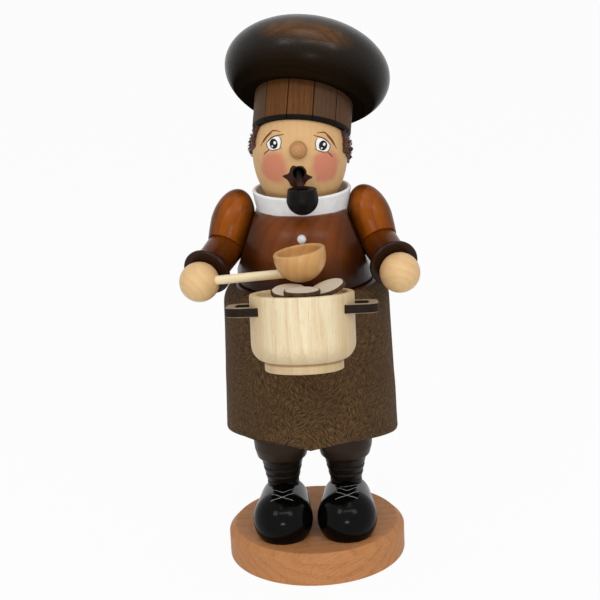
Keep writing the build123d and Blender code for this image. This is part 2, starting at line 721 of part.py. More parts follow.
def head():
    """Turned head with a flat for the hat, the smoke way and the holes for nose and pipe."""
    ball = keep_side(head_turning(), HAT_FRAME.origin, HAT_AXIS)
    ball -= upright(NECK_RADIUS + GLUE_GAP, HEAD_FLAT_Z - OVERCUT, NECK_TOP_Z + GLUE_GAP)
    ball -= upright(NECK_BORE, HEAD_BOTTOM_Z, SMOKE_TOP.Z)
    start = SMOKE_TOP - Vector(0, 0, MOUTH_BORE_RADIUS)
    outward = (MOUTH_POINT - start).normalized()
    ball -= rod(start, MOUTH_POINT + outward * OVERCUT, MOUTH_BORE_RADIUS)
    return ball - nose(GLUE_GAP) - pipe_stem(GLUE_GAP) - hat_dowel(GLUE_GAP)


# Hair: a fleece strip round the sides and back of the head, under the hat
def on_ball(radius, height):
    """Outline point on a ball about the head's centre, at a height along the hat's axis."""
    return (math.sqrt(radius ** 2 - height ** 2), height)


def hair():
    """Fleece strip that follows the head."""
    inner = HEAD_RADIUS + SURFACE_GAP
    outer = inner + HAIR_THICKNESS
    high = HAT_SEAT - SURFACE_GAP
    low = high - HAIR_HEIGHT
    middle = (high + low) / 2
    strip = profile(
        on_ball(inner, low),
        on_ball(outer, low),
        (on_ball(outer, middle), on_ball(outer, high)),
        on_ball(inner, high),
        (on_ball(inner, middle), on_ball(inner, low)),
    )
    wrapped = turned(strip, 360 - HAIR_OPENING)
    frame = Plane(origin=HEAD_CENTRE, x_dir=(1, 0, 0), z_dir=HAT_AXIS)
    strip = frame * Rot(0, 0, -90 + HAIR_OPENING / 2) * wrapped
    return strip - head_turning(SURFACE_GAP)


# Hat: a pleated band, and a bun that is seated on the band
def hat_dowel(gap=0.0):
    """Dowel through the band that joins the head, the band and the bun."""
    top = BAND_HEIGHT + HAT_DOWEL_IN_PUFF + gap
    return HAT_FRAME * upright(HAT_DOWEL_RADIUS + gap, -HAT_DOWEL_IN_HEAD - gap, top)


def hat_band():
    """Turned band with evenly spaced pleat lines."""
    band = turned(profile(
        (0, 0),
        (BAND_RADIUS - BAND_EDGE, 0),
        (BAND_RADIUS, BAND_EDGE),
        (BAND_RADIUS, BAND_HEIGHT),
        (0, BAND_HEIGHT),
    ))
    line = Pos(BAND_RADIUS, 0, BAND_EDGE) * Box(
        2 * PLEAT_DEPTH, PLEAT_WIDTH, BAND_HEIGHT, align=(Align.CENTER, Align.CENTER, Align.MIN))
    for index in range(BAND_PLEATS):
        band -= Rot(0, 0, (index + 0.5) * 360 / BAND_PLEATS) * line
    return HAT_FRAME * band - hat_dowel(GLUE_GAP)


def hat_puff():
    """Turned bun of the cook's hat, tilted a little more than the band that it is seated on."""
    drop = PUFF_HALF_HEIGHT * math.sqrt(1 - (PUFF_LIP_RADIUS / PUFF_RADIUS) ** 2)
    lip_angle = math.degrees(math.atan2(-drop / PUFF_HALF_HEIGHT, PUFF_LIP_RADIUS / PUFF_RADIUS))
    centre = (0, PUFF_CENTRE_ABOVE_BAND)
    lip = (PUFF_LIP_RADIUS, PUFF_CENTRE_ABOVE_BAND - drop)
    seat = (BAND_RADIUS - BAND_EDGE, -PUFF_SEAT_DROP)
    bun = turned(make_face([
        EllipticalCenterArc(centre, PUFF_RADIUS, PUFF_HALF_HEIGHT, arc_size=lip_angle),
        EllipticalCenterArc(centre, PUFF_RADIUS, PUFF_HALF_HEIGHT, arc_size=90),
        Line((0, PUFF_CENTRE_ABOVE_BAND + PUFF_HALF_HEIGHT), (0, -PUFF_SEAT_DROP)),
        Line((0, -PUFF_SEAT_DROP), seat),
        Line(seat, lip),
    ]))
    seat_hole = HAT_FRAME * upright(BAND_RADIUS + GLUE_GAP, 0, BAND_HEIGHT)
    return PUFF_FRAME * bun - seat_hole - hat_dowel(GLUE_GAP)


# Pipe: a stem in the lower half of the mouth, and a small black bowl
PIPE_BOWL_LOW = Vector(PIPE_BOWL_SIDE, -PIPE_BOWL_FORWARD, NECK_Z + PIPE_BOWL_ABOVE_JACKET)
STEM_FROM = MOUTH_POINT - Vector(0, 0, PIPE_STEM_BELOW_MOUTH)
STEM_TO = PIPE_BOWL_LOW + Vector(0, PIPE_BOWL_RADIUS - PIPE_STEM_IN_BOWL, PIPE_STEM_UP_BOWL)


def pipe_stem(gap=0.0):
    """Straight stem from the mouth to the bowl."""
    along = (STEM_TO - STEM_FROM).normalized()
    start = STEM_FROM - along * (PIPE_STEM_IN_HEAD + gap)
    return rod(start, STEM_TO + along * gap, PIPE_STEM_RADIUS + gap)


def pipe_bowl():
    """Bowl with a round bottom and a shallow bore."""
    side_z = PIPE_BOWL_RADIUS
    belly = arc_step((0, side_z), PIPE_BOWL_RADIUS, -90, 0)
    bowl = turned(profile(
        (0, 0),
        belly,
        (PIPE_RIM_RADIUS, PIPE_BOWL_HEIGHT),
        (PIPE_BORE_RADIUS, PIPE_BOWL_HEIGHT),
        (PIPE_BORE_RADIUS, PIPE_BOWL_HEIGHT - PIPE_BORE_DEPTH),
        (0, PIPE_BOWL_HEIGHT - PIPE_BORE_DEPTH),
    ))
    return Pos(PIPE_BOWL_LOW) * bowl - pipe_stem(GLUE_GAP)


# Arms: an egg-shaped sleeve, a mitred forearm, a flared cuff and a ball hand on each side
def hand_point(side):
    """Centre of a hand."""
    if side < 0:
        return Vector(-LEFT_HAND_OUT, -LEFT_HAND_FORWARD, HIP_TOP_Z + LEFT_HAND_ABOVE_HIP)
    return Vector(RIGHT_HAND_OUT, -RIGHT_HAND_FORWARD, HIP_TOP_Z + RIGHT_HAND_ABOVE_HIP)


def arm_directions(side):
    """Directions of the sleeve and of the forearm."""
    sleeve_way = (elbow_point(side) - shoulder_point(side)).normalized()
    forearm_way = (hand_point(side) - elbow_point(side)).normalized()
    return sleeve_way, forearm_way


def mitre(side):
    """Normal of the plane where the sleeve meets the forearm, pointing along the arm."""
    sleeve_way, forearm_way = arm_directions(side)
    return (sleeve_way + forearm_way).normalized()


def sleeve(side):
    """Egg-shaped upper arm with a flat against the jacket."""
    start = shoulder_point(side)
    length = (elbow_point(side) - start).length
    cap = EllipticalCenterArc((0, SLEEVE_FULL_AT), SLEEVE_RADIUS, SLEEVE_FULL_AT, arc_size=-90)
    end = length + ELBOW_RADIUS
    tail = (SLEEVE_TAIL_RADIUS, end)
    lower = (SLEEVE_LOWER_RADIUS, length - SLEEVE_LOWER_BACK)
    taper = ThreePointArc((SLEEVE_RADIUS, SLEEVE_FULL_AT), lower, tail)
    egg = turned(make_face([cap, taper, Line(tail, (0, end)), Line((0, end), (0, 0))]))
    placed = Plane(origin=start, z_dir=arm_directions(side)[0]) * egg
    placed = keep_side(placed, elbow_point(side), mitre(side))
    placed = keep_side(placed, flat_point(side), flat_normal(side) * -1)
    return placed - shoulder_dowel(side, GLUE_GAP) - collar_envelope()


def cuff_start(side):
    """Distance from the elbow to the back of the cuff."""
    reach = (hand_point(side) - elbow_point(side)).length
    return reach - HAND_RADIUS + HAND_IN_CUFF - CUFF_LENGTH


def wrist_dowel(side, gap=0.0):
    """Dowel through the cuff between the forearm and the hand."""
    way = arm_directions(side)[1]
    back = elbow_point(side) + way * (cuff_start(side) - WRIST_DOWEL_IN_ARM - gap)
    reach = (hand_point(side) - elbow_point(side)).length
    front = elbow_point(side) + way * (reach - HAND_RADIUS + WRIST_DOWEL_IN_HAND + gap)
    return rod(back, front, WRIST_DOWEL_RADIUS + gap)


def forearm(side):
    """Short forearm from the mitred elbow to the cuff."""
    start = cuff_start(side)
    tail = -2 * ELBOW_RADIUS
    cone = turned(profile(
        (0, tail),
        (ELBOW_RADIUS, tail),
        (ELBOW_RADIUS, 0),
        (WRIST_RADIUS, start),
        (0, start),
    ))
    placed = Plane(origin=elbow_point(side), z_dir=arm_directions(side)[1]) * cone
    placed = keep_side(placed, elbow_point(side), mitre(side) * -1)
    placed = keep_side(placed, flat_point(side), flat_normal(side) * -1)
    return placed - wrist_dowel(side, GLUE_GAP)


def cuff(side):
    """Flared cuff ring with a round seat for the hand."""
    start = cuff_start(side)
    ring = turned(profile(
        (0, start),
        (CUFF_BACK_RADIUS, start),
        (CUFF_RADIUS, start + CUFF_FLARE_LENGTH),
        (CUFF_RADIUS, start + CUFF_LENGTH),
        (0, start + CUFF_LENGTH),
    ))
    placed = Plane(origin=elbow_point(side), z_dir=arm_directions(side)[1]) * ring
    placed -= Pos(hand_point(side)) * Sphere(HAND_RADIUS + GLUE_GAP)
    return placed - wrist_dowel(side, GLUE_GAP)


def hand(side):
    """Ball hand; the left one is drilled for the ladle."""
    ball = Pos(hand_point(side)) * Sphere(HAND_RADIUS) - wrist_dowel(side, GLUE_GAP)
    if side < 0:
        ball -= ladle_stem(GLUE_GAP)
    return ball


# Ladle: a dowel stem in the left hand and a turned bowl
LADLE_TURN = math.radians(LADLE_LEAN)
LADLE_RIM = Vector(LADLE_SIDE, -LADLE_FORWARD, HIP_TOP_Z + LADLE_RIM_ABOVE_HIP)
LADLE_UP = Vector(-math.sin(LADLE_TURN), 0, math.cos(LADLE_TURN))
LADLE_SIDE_DEPTH = LADLE_DEPTH - LADLE_RADIUS
LADLE_AIM = LADLE_RIM - LADLE_UP * LADLE_STEM_BELOW_RIM
LADLE_ROUND = LADLE_RIM - LADLE_UP * LADLE_SIDE_DEPTH
STEM_WAY = (LADLE_AIM - hand_point(-1)).normalized()
AIM_OFFSET = LADLE_AIM - LADLE_ROUND
AIM_ALONG = AIM_OFFSET.dot(STEM_WAY)
AIM_REACH = AIM_ALONG + math.sqrt(AIM_ALONG ** 2 + LADLE_RADIUS ** 2 - AIM_OFFSET.length ** 2)
STEM_END = LADLE_AIM - STEM_WAY * (AIM_REACH - LADLE_STEM_IN_BOWL)


def ladle_stem(gap=0.0):
    """Dowel stem from the left hand to the ladle's bowl."""
    start = hand_point(-1) + STEM_WAY * (HAND_RADIUS - LADLE_STEM_IN_HAND - gap)
    return rod(start, STEM_END + STEM_WAY * gap, LADLE_STEM_RADIUS + gap)


def ladle_bowl():
    """Turned half-ball bowl of the ladle."""
    inner = LADLE_RADIUS - LADLE_WALL
    bowl = turned(profile(
        (0, -LADLE_DEPTH),
        arc_step((0, -LADLE_SIDE_DEPTH), LADLE_RADIUS, -90, 0),
        (LADLE_RADIUS, 0),
        (inner, 0),
        (inner, -LADLE_SIDE_DEPTH),
        arc_step((0, -LADLE_SIDE_DEPTH), inner, 0, -90),
    ))
    placed = Plane(origin=LADLE_RIM, z_dir=LADLE_UP) * bowl
    return placed - ladle_stem(GLUE_GAP)


SIDES = {"left": -1, "right": 1}
POT = pot()
LEFT_SLICE = leaning_slice(SLICE_LEFT_X, SLICE_LEFT_Y, SLICE_LEFT_TILT, 0.0)
RIGHT_SLICE = leaning_slice(SLICE_RIGHT_X, SLICE_RIGHT_Y, SLICE_RIGHT_TILT, SLICE_RIGHT_ROLL)
nodes = {
    "base_disc": base_disc(),
    "foot_dowels": Compound([foot_dowel(-LEG_X), foot_dowel(LEG_X)]),
    "hip_block": hip_block(),
    "hip_ring": hip_ring(),
    "incense_plate": incense_plate(),
    "plate_tacks": Compound(tacks()),
    "apron": apron(),
    "pot": POT,
    "pot_dowel": pot_dowel(),
    "slice_left": LEFT_SLICE,
    "slice_right": RIGHT_SLICE,
    "slice_front": crossing_slice([POT, LEFT_SLICE, RIGHT_SLICE]),
    "jacket": jacket(),
    "shoulder_dowels": Compound([shoulder_dowel(-1), shoulder_dowel(1)]),
    "button": button(),
    "collar": collar(),
    "neck_tube": neck_tube(),
    "head": head(),
    "nose": nose(),
    "hair": hair(),
    "hat_band": hat_band(),
    "hat_puff": hat_puff(),
    "hat_dowel": hat_dowel(),
    "pipe_stem": pipe_stem(),
    "pipe_bowl": pipe_bowl(),
    "wrist_dowels": Compound([wrist_dowel(-1), wrist_dowel(1)]),
    "ladle_stem": ladle_stem(),
    "ladle_bowl": ladle_bowl(),
}
for name, side in SIDES.items():
    nodes["shoe_" + name] = shoe(side * LEG_X)
    nodes["leg_" + name] = leg(side * LEG_X)
    nodes["pot_handle_" + name] = pot_handle(side)
    nodes["sleeve_" + name] = sleeve(side)
    nodes["forearm_" + name] = forearm(side)
    nodes["cuff_" + name] = cuff(side)
    nodes["hand_" + name] = hand(side)

os.makedirs("parts", exist_ok=True)
for name, shape in nodes.items():
    export_step(shape, "parts/" + name + ".step")
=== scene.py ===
"""Looks of a turned wooden incense smoker: a cook with a ladle, a stock pot and a leather apron."""
import logging
import math
from dataclasses import dataclass, field
from enum import Enum

import bmesh
import bpy
from mathutils import Matrix, Vector, noise


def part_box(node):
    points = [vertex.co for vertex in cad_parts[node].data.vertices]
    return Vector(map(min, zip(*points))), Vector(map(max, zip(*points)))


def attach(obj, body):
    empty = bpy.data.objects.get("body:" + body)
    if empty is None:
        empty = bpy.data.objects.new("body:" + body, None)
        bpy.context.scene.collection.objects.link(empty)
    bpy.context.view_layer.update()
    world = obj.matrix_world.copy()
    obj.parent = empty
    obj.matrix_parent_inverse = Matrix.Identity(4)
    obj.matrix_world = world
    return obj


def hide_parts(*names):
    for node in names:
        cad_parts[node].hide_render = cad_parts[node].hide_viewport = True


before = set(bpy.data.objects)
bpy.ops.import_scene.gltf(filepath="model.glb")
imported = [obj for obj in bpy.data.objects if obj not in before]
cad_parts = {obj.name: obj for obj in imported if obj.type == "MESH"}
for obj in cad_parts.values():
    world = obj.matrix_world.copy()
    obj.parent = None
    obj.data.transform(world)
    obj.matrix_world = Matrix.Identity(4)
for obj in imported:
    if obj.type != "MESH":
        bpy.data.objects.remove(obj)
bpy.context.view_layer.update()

MM = 0.001
LOG = logging.getLogger("smoker")

Colour = tuple[float, float, float]
Point = tuple[float, float, float]
Flat = tuple[float, float]
Faces = list[tuple[int, ...]]
Film = tuple[list[Vector], Faces]
Material = bpy.types.Material
Mesh = bpy.types.Mesh
Node = bpy.types.Node
Object = bpy.types.Object
Socket = bpy.types.NodeSocket
Tree = bpy.types.NodeTree


class Body(Enum):
    """Bodies of the smoker: what stands, and what lifts off."""

    LOWER = "lower_body"
    UPPER = "upper_body"


class Along(Enum):
    """Coordinate of a piece that sprayed shade follows."""

    X = "x"
    Z = "z"
    SIDEWAYS = "sideways"
    RADIUS = "radius"


def paint(red: float, green: float, blue: float) -> Colour:
    """Linear colour of a paint given as screen values from 0 to 255."""
    screen = (red, green, blue)
    return tuple(((v / 255 + 0.055) / 1.055) ** 2.4 if v > 10 else v / 255 / 12.92 for v in screen)


@dataclass(frozen=True)
class Seat:
    """Place and axis of a piece in the object's frame, in millimetres."""

    origin: Point = (0.0, 0.0, 0.0)
    axis: Point = (0.0, 0.0, 1.0)
    side: Point = (1.0, 0.0, 0.0)

    @property
    def matrix(self) -> Matrix:
        """Matrix from the seat's own metres to the object's frame."""
        up = Vector(self.axis).normalized()
        side = Vector(self.side)
        side = (side - up * side.dot(up)).normalized()
        turned = Matrix((side, up.cross(side), up)).transposed().to_4x4()
        turned.translation = Vector(self.origin) * MM
        return turned

    def at(self, x: float, y: float, z: float) -> Vector:
        """Point of the object's frame, in millimetres, that lies at a place of the seat."""
        return self.matrix @ (Vector((x, y, z)) * MM) / MM


@dataclass
class Outline:
    """Outline of a turned piece: radius, height and corner softness of each point, in millimetres."""

    points: list[Point] = field(default_factory=list)
    closed: bool = False

    def to(self, radius: float, height: float, soft: float = 0.0) -> "Outline":
        """Goes straight to a point whose corner may be softened."""
        self.points.append((radius, height, soft))
        return self

    def arc(self, centre: Flat, radii: Flat, start: float, end: float, steps: int = 24) -> "Outline":
        """Goes along an elliptical arc about a centre.

        Args:
            centre: Radius and height of the arc's centre.
            radii: Half width and half height of the ellipse.
            start: First angle in degrees, from the outward direction.
            end: Last angle in degrees.
            steps: Number of straight steps.

        Returns:
            The outline itself.
        """
        for step in range(steps + 1):
            angle = math.radians(start + (end - start) * step / steps)
            radius = centre[0] + radii[0] * math.cos(angle)
            self.points.append((max(radius, 0.0), centre[1] + radii[1] * math.sin(angle), 0.0))
        return self

    def supported(self) -> list[Point]:
        """Points with a support beside each soft corner, so that flats stay flat in the light."""
        spread = 2.2
        found = []
        count = len(self.points)
        for index, (radius, height, soft) in enumerate(self.points):
            here = Vector((radius, height))
            for step in (-1, 1):
                if step == 1:
                    found.append((radius, height, soft))
                other = index + step
                if soft == 0 or not (self.closed or 0 <= other < count):
                    continue
                way = Vector(self.points[other % count][:2]) - here
                if way.length > 2 * spread * soft:
                    beside = here + way.normalized() * spread * soft
                    found.append((beside.x, beside.y, 0.0))
        return found


def smooth_line(points: list[Flat], steps: int, closed: bool = False) -> list[Flat]:
    """Points along a smooth line through given points.

    Args:
        points: The points that the line passes through.
        steps: Number of steps from one point to the next.
        closed: Whether the line returns to its start.

    Returns:
        The points of the line.
    """
    count = len(points)
    ways = [Vector(p) for p in points]
    found = []
    for index in range(count if closed else count - 1):
        if closed:
            a, b, c, d = (ways[(index + k) % count] for k in (-1, 0, 1, 2))
        else:
            a, b, c, d = (ways[min(max(index + k, 0), count - 1)] for k in (-1, 0, 1, 2))
        for step in range(steps):
            t = step / steps
            found.append(tuple(0.5 * (2 * b + (c - a) * t + (2 * a - 5 * b + 4 * c - d) * t * t
                                      + (3 * b - a - 3 * c + d) * t ** 3)))
    if not closed:
        found.append(tuple(ways[-1]))
    return found


def ring_faces(bands: int, count: int, first: int = 0) -> Faces:
    """Faces of the bands between rings of points, from a first point on."""
    return [(a + k, a + count + k, a + count + (k + 1) % count, a + (k + 1) % count)
            for a in range(first, first + bands * count, count) for k in range(count)]


def domed_faces(bands: int, count: int) -> Faces:
    """Faces of rings of points that a first and a last point close."""
    tail = 1 + bands * count
    faces = [(0, 1 + k, 1 + (k + 1) % count) for k in range(count)] + ring_faces(bands, count, 1)
    return faces + [(tail + count, tail + (k + 1) % count, tail + k) for k in range(count)]


def sheet_faces(rows: int, columns: int, front: int, back: int) -> Faces:
    """Faces of a thick sheet between two grids of points.

    Args:
        rows: Number of steps up the sheet.
        columns: Number of steps along it.
        front: Index of the front grid's first point.
        back: Index of the back grid's first point.

    Returns:
        The faces of both sides and of the rim.
    """
    wide = columns + 1
    faces = []
    for row in range(rows):
        for a in range(row * wide, row * wide + columns):
            faces.append((front + a, front + a + 1, front + a + wide + 1, front + a + wide))
            faces.append((back + a, back + a + wide, back + a + wide + 1, back + a + 1))
    rim = list(range(wide)) + [row * wide + columns for row in range(1, rows + 1)]
    rim += [rows * wide + column for column in range(columns - 1, -1, -1)]
    rim += [row * wide for row in range(rows - 1, 0, -1)]
    for here, there in zip(rim, rim[1:] + rim[:1]):
        faces.append((back + here, back + there, front + there, front + here))
    return faces


class Sketch:
    """Short hand for wiring a node tree from left to right."""

    def __init__(self, tree: Tree) -> None:
        """Keeps the tree that is wired."""
        self.tree = tree

    def node(self, kind: str, **settings: object) -> Node:
        """Adds a node and sets its own options."""
        made = self.tree.nodes.new(kind)
        for name, value in settings.items():
            setattr(made, name, value)
        return made

    def feed(self, socket: Socket, value: object) -> None:
        """Links a socket to another one, or gives it a plain value."""
        if isinstance(value, Socket):
            self.tree.links.new(value, socket)
        elif socket.type == "RGBA":
            socket.default_value = (*value, 1.0)
        else:
            socket.default_value = value

    def fill(self, node: Node, **values: object) -> Node:
        """Feeds a node's inputs, named with underscores for spaces."""
        for name, value in values.items():
            self.feed(node.inputs[name.replace("_", " ")], value)
        return node

    def put(self, kind: str, **values: object) -> Node:
        """Adds a node and feeds its inputs."""
        return self.fill(self.node(kind), **values)

    def math(self, operation: str, first: object, second: object = 0.0) -> Socket:
        """Arithmetic on two values."""
        made = self.node("ShaderNodeMath", operation=operation)
        self.feed(made.inputs[0], first)
        self.feed(made.inputs[1], second)
        return made.outputs[0]

    def vector(self, operation: str, first: object, second: object) -> Socket:
        """Arithmetic on two vectors."""
        made = self.node("ShaderNodeVectorMath", operation=operation)
        self.feed(made.inputs[0], first)
        self.feed(made.inputs[1], second)
        return made.outputs["Value" if operation in ("LENGTH", "DISTANCE", "DOT_PRODUCT") else "Vector"]

    def noise(self, vector: object, stretch: Point, detail: float = 2.0) -> Socket:
        """Noise whose coordinates are stretched along each axis."""
        stretched = self.vector("MULTIPLY", vector, stretch)
        return self.put("ShaderNodeTexNoise", Vector=stretched, Scale=1.0, Detail=detail).outputs["Fac"]

    def radius(self, place: object) -> Socket:
        """Distance of a place from the Z axis."""
        return self.vector("LENGTH", self.vector("MULTIPLY", place, (1.0, 1.0, 0.0)), (0.0, 0.0, 0.0))

    def span(self, value: object, low: object, high: object) -> Socket:
        """Smooth step of a value from 0 at one end to 1 at the other."""
        made = self.node("ShaderNodeMapRange", interpolation_type="SMOOTHSTEP")
        return self.fill(made, Value=value, From_Min=low, From_Max=high).outputs["Result"]

    def mix(self, factor: object, first: object, second: object) -> Socket:
        """Mix of two colours."""
        made = self.node("ShaderNodeMix", data_type="RGBA")
        self.feed(made.inputs[0], factor)
        self.feed(made.inputs[6], first)
        self.feed(made.inputs[7], second)
        return made.outputs[2]

    def group(self, tree: Tree, **values: object) -> Node:
        """Places a node group and feeds its inputs."""
        return self.fill(self.node("ShaderNodeGroup", node_tree=tree), **values)


def new_group(name: str, inputs: dict[str, str], outputs: dict[str, str]) -> tuple[Sketch, dict]:
    """Starts a shader node group.

    Args:
        name: Name of the group.
        inputs: Names of the inputs with their socket kinds.
        outputs: Names of the outputs with their socket kinds.

    Returns:
        The sketch of the group, and its input sockets by name and output sockets under "out".
    """
    tree = bpy.data.node_groups.new(name, "ShaderNodeTree")
    for way, sockets in (("INPUT", inputs), ("OUTPUT", outputs)):
        for label, kind in sockets.items():
            tree.interface.new_socket(label, in_out=way, socket_type="NodeSocket" + kind)
    sketch = Sketch(tree)
    ends = {socket.name: socket for socket in sketch.node("NodeGroupInput").outputs if socket.name}
    ends["out"] = sketch.node("NodeGroupOutput").inputs
    return sketch, ends


class Effects:
    """Shader node groups that several finishes share."""

    def __init__(self) -> None:
        """Builds each group once."""
        self.grain = self.wood_grain()
        self.spray = self.sprayed_shade()
        self.lacquer = self.lacquer_wear()

    @staticmethod
    def wood_grain() -> Tree:
        """Growth rings about the grain's axis, with fibres and pores along it, in millimetres."""
        s, ends = new_group(
            "wood_grain",
            {"Vector": "Vector", "Light": "Color", "Dark": "Color", "Ring Width": "Float", "Wander": "Float",
             "Ring Depth": "Float", "Fibre": "Float", "Pores": "Float"},
            {"Color": "Color", "Height": "Float"})
        place = ends["Vector"]
        sway = s.math("SUBTRACT", s.noise(place, (0.05, 0.05, 0.012)), 0.5)
        wandered = s.math("ADD", s.radius(place), s.math("MULTIPLY", sway, ends["Wander"]))
        saw = s.math("FRACT", s.math("DIVIDE", wandered, ends["Ring Width"]))
        late = s.math("MULTIPLY", s.math("POWER", saw, 2.2), s.span(saw, 1.0, 0.86))
        fibre = s.math("SUBTRACT", s.noise(place, (1.7, 1.7, 0.05), 4.0), 0.5)
        amount = s.math("ADD", s.math("MULTIPLY", late, ends["Ring Depth"]),
                        s.math("MULTIPLY", fibre, ends["Fibre"]))
        limited = s.put("ShaderNodeClamp", Value=s.math("ADD", amount, 0.12))
        colour = s.mix(limited.outputs[0], ends["Light"], ends["Dark"])
        pore = s.math("MULTIPLY", s.span(s.noise(place, (4.2, 4.2, 0.3)), 0.58, 0.7), ends["Pores"])
        s.feed(ends["out"]["Color"], s.mix(pore, colour, ends["Dark"]))
        s.feed(ends["out"]["Height"], s.math("SUBTRACT", s.math("MULTIPLY", fibre, 0.5), pore))
        return s.tree

    @staticmethod
    def sprayed_shade() -> Tree:
        """Shade that comes on along one coordinate with a cloudy edge: airbrushed stain on some pieces,
        painted shade on others.
        """
        s, ends = new_group(
            "sprayed_shade",
            {"Vector": "Vector", "Color": "Color", "Shade": "Color", "Position": "Float", "Start": "Float",
             "Full": "Float", "Strength": "Float"},
            {"Color": "Color"})
        cloud = s.math("SUBTRACT", s.noise(ends["Vector"], (0.22, 0.22, 0.22)), 0.5)
        edge = s.math("ADD", ends["Position"], s.math("MULTIPLY", cloud, 3.0))
        cover = s.math("MULTIPLY", s.span(edge, ends["Start"], ends["Full"]), ends["Strength"])
        s.feed(ends["out"]["Color"], s.mix(cover, ends["Color"], ends["Shade"]))
        return s.tree

    @staticmethod
    def lacquer_wear() -> Tree:
        """Uneven gloss of a lacquered surface with fine scratches."""
        s, ends = new_group(
            "lacquer_wear",
            {"Vector": "Vector", "Roughness": "Float", "Unevenness": "Float", "Scratches": "Float"},
            {"Roughness": "Float", "Height": "Float", "Scratch": "Float"})
        cloud = s.math("SUBTRACT", s.noise(ends["Vector"], (0.18, 0.18, 0.18), 3.0), 0.5)
        line = s.span(s.noise(ends["Vector"], (0.35, 3.6, 3.6), 3.0), 0.66, 0.74)
        other = s.span(s.noise(ends["Vector"], (2.9, 2.9, 0.3), 3.0), 0.67, 0.75)
        scratch = s.math("MULTIPLY", s.math("MAXIMUM", line, other), ends["Scratches"])
        gloss = s.math("ADD", ends["Roughness"], s.math("MULTIPLY", cloud, ends["Unevenness"]))
        s.feed(ends["out"]["Roughness"], s.math("ADD", gloss, s.math("MULTIPLY", scratch, 0.25)))
        s.feed(ends["out"]["Height"], s.math("SUBTRACT", s.math("MULTIPLY", cloud, 0.3), scratch))
        s.feed(ends["out"]["Scratch"], scratch)
        return s.tree


@dataclass(frozen=True)
class Shade:
    """Colour sprayed over a finish, from where it starts to where it is full, in the piece's millimetres:
    airbrushed stain on some pieces, painted shade on others.
    """

    along: Along
    start: float
    full: float
    colour: Colour
    strength: float = 1.0
    above: float | None = None


class Palette:
    """Materials of the smoker, each made once for its own piece."""

    def __init__(self) -> None:
        """Builds the shared effects."""
        self.effects = Effects()

    def start(self, name: str, seat: Seat) -> tuple[Sketch, Node, Socket]:
        """Starts a material with a Principled shader and the piece's own coordinates in millimetres.

        Args:
            name: Name of the material.
            seat: Seat whose axis the pattern follows.

        Returns:
            The sketch, the shader node and the coordinate socket.
        """
        material = bpy.data.materials.new(name)
        material.use_nodes = True
        sketch = Sketch(material.node_tree)
        shader = material.node_tree.nodes["Principled BSDF"]
        mapping = sketch.node("ShaderNodeMapping", vector_type="TEXTURE")
        sketch.fill(mapping, Location=seat.matrix.translation, Rotation=seat.matrix.to_euler(),
                    Scale=(MM, MM, MM), Vector=sketch.node("ShaderNodeTexCoord").outputs["Object"])
        return sketch, shader, mapping.outputs["Vector"]

    @staticmethod
    def coordinate(sketch: Sketch, place: Socket, along: Along) -> Socket:
        """Value of the coordinate that a shade follows."""
        if along is Along.RADIUS:
            return sketch.radius(place)
        parts = sketch.put("ShaderNodeSeparateXYZ", Vector=place)
        if along is Along.SIDEWAYS:
            return sketch.math("ABSOLUTE", parts.outputs["X"])
        return parts.outputs[along.name]

    @staticmethod
    def relief(sketch: Sketch, shader: Node, height: object, depth: float) -> None:
        """Bump of a given depth in millimetres on a shader's normal."""
        bump = sketch.put("ShaderNodeBump", Distance=depth * MM, Height=height)
        sketch.fill(shader, Normal=bump.outputs["Normal"])

    def shaded(self, sketch: Sketch, place: Socket, colour: object,
               shades: tuple[Shade, ...]) -> object:
        """Colour with each sprayed shade over it."""
        for shade in shades:
            strength = shade.strength
            if shade.above is not None:
                height = self.coordinate(sketch, place, Along.Z)
                cover = sketch.span(height, shade.above - 0.5, shade.above)
                strength = sketch.math("MULTIPLY", cover, strength)
            colour = sketch.group(
                self.effects.spray, Vector=place, Color=colour, Shade=shade.colour,
                Position=self.coordinate(sketch, place, shade.along), Start=shade.start, Full=shade.full,
                Strength=strength).outputs["Color"]
        return colour


@dataclass(frozen=True)
class WoodFinish:
    """Wood under clear or stained lacquer."""

    light: Colour
    dark: Colour
    ring_width: float = 2.2
    wander: float = 7.0
    ring_depth: float = 0.6
    fibre: float = 0.8
    pores: float = 0.25
    pith: Flat = (14.0, 9.0)
    roughness: float = 0.38
    unevenness: float = 0.12
    scratches: float = 0.0
    specular: float = 0.4
    relief: float = 0.05

    def material(self, palette: Palette, name: str, seat: Seat,
                 shades: tuple[Shade, ...] = ()) -> Material:
        """Makes the wood's material for one piece.

        Args:
            palette: Palette that holds the shared effects.
            name: Name of the material.
            seat: Seat whose axis the grain follows.
            shades: Sprayed shades over the stain.

        Returns:
            The material.
        """
        s, shader, place = palette.start(name, seat)
        off_pith = s.vector("ADD", place, (*self.pith, 0.0))
        grain = s.group(palette.effects.grain, Vector=off_pith, Light=self.light, Dark=self.dark,
                        Ring_Width=self.ring_width, Wander=self.wander, Ring_Depth=self.ring_depth,
                        Fibre=self.fibre, Pores=self.pores)
        wear = s.group(palette.effects.lacquer, Vector=place, Roughness=self.roughness,
                       Unevenness=self.unevenness, Scratches=self.scratches)
        colour = palette.shaded(s, place, grain.outputs["Color"], shades)
        if self.scratches:
            colour = s.mix(s.math("MULTIPLY", wear.outputs["Scratch"], 0.35), colour, self.light)
        s.fill(shader, Base_Color=colour, Roughness=wear.outputs["Roughness"],
               Specular_IOR_Level=self.specular)
        height = s.math("ADD", grain.outputs["Height"], wear.outputs["Height"])
        palette.relief(s, shader, height, self.relief)
        return bpy.data.materials[name]


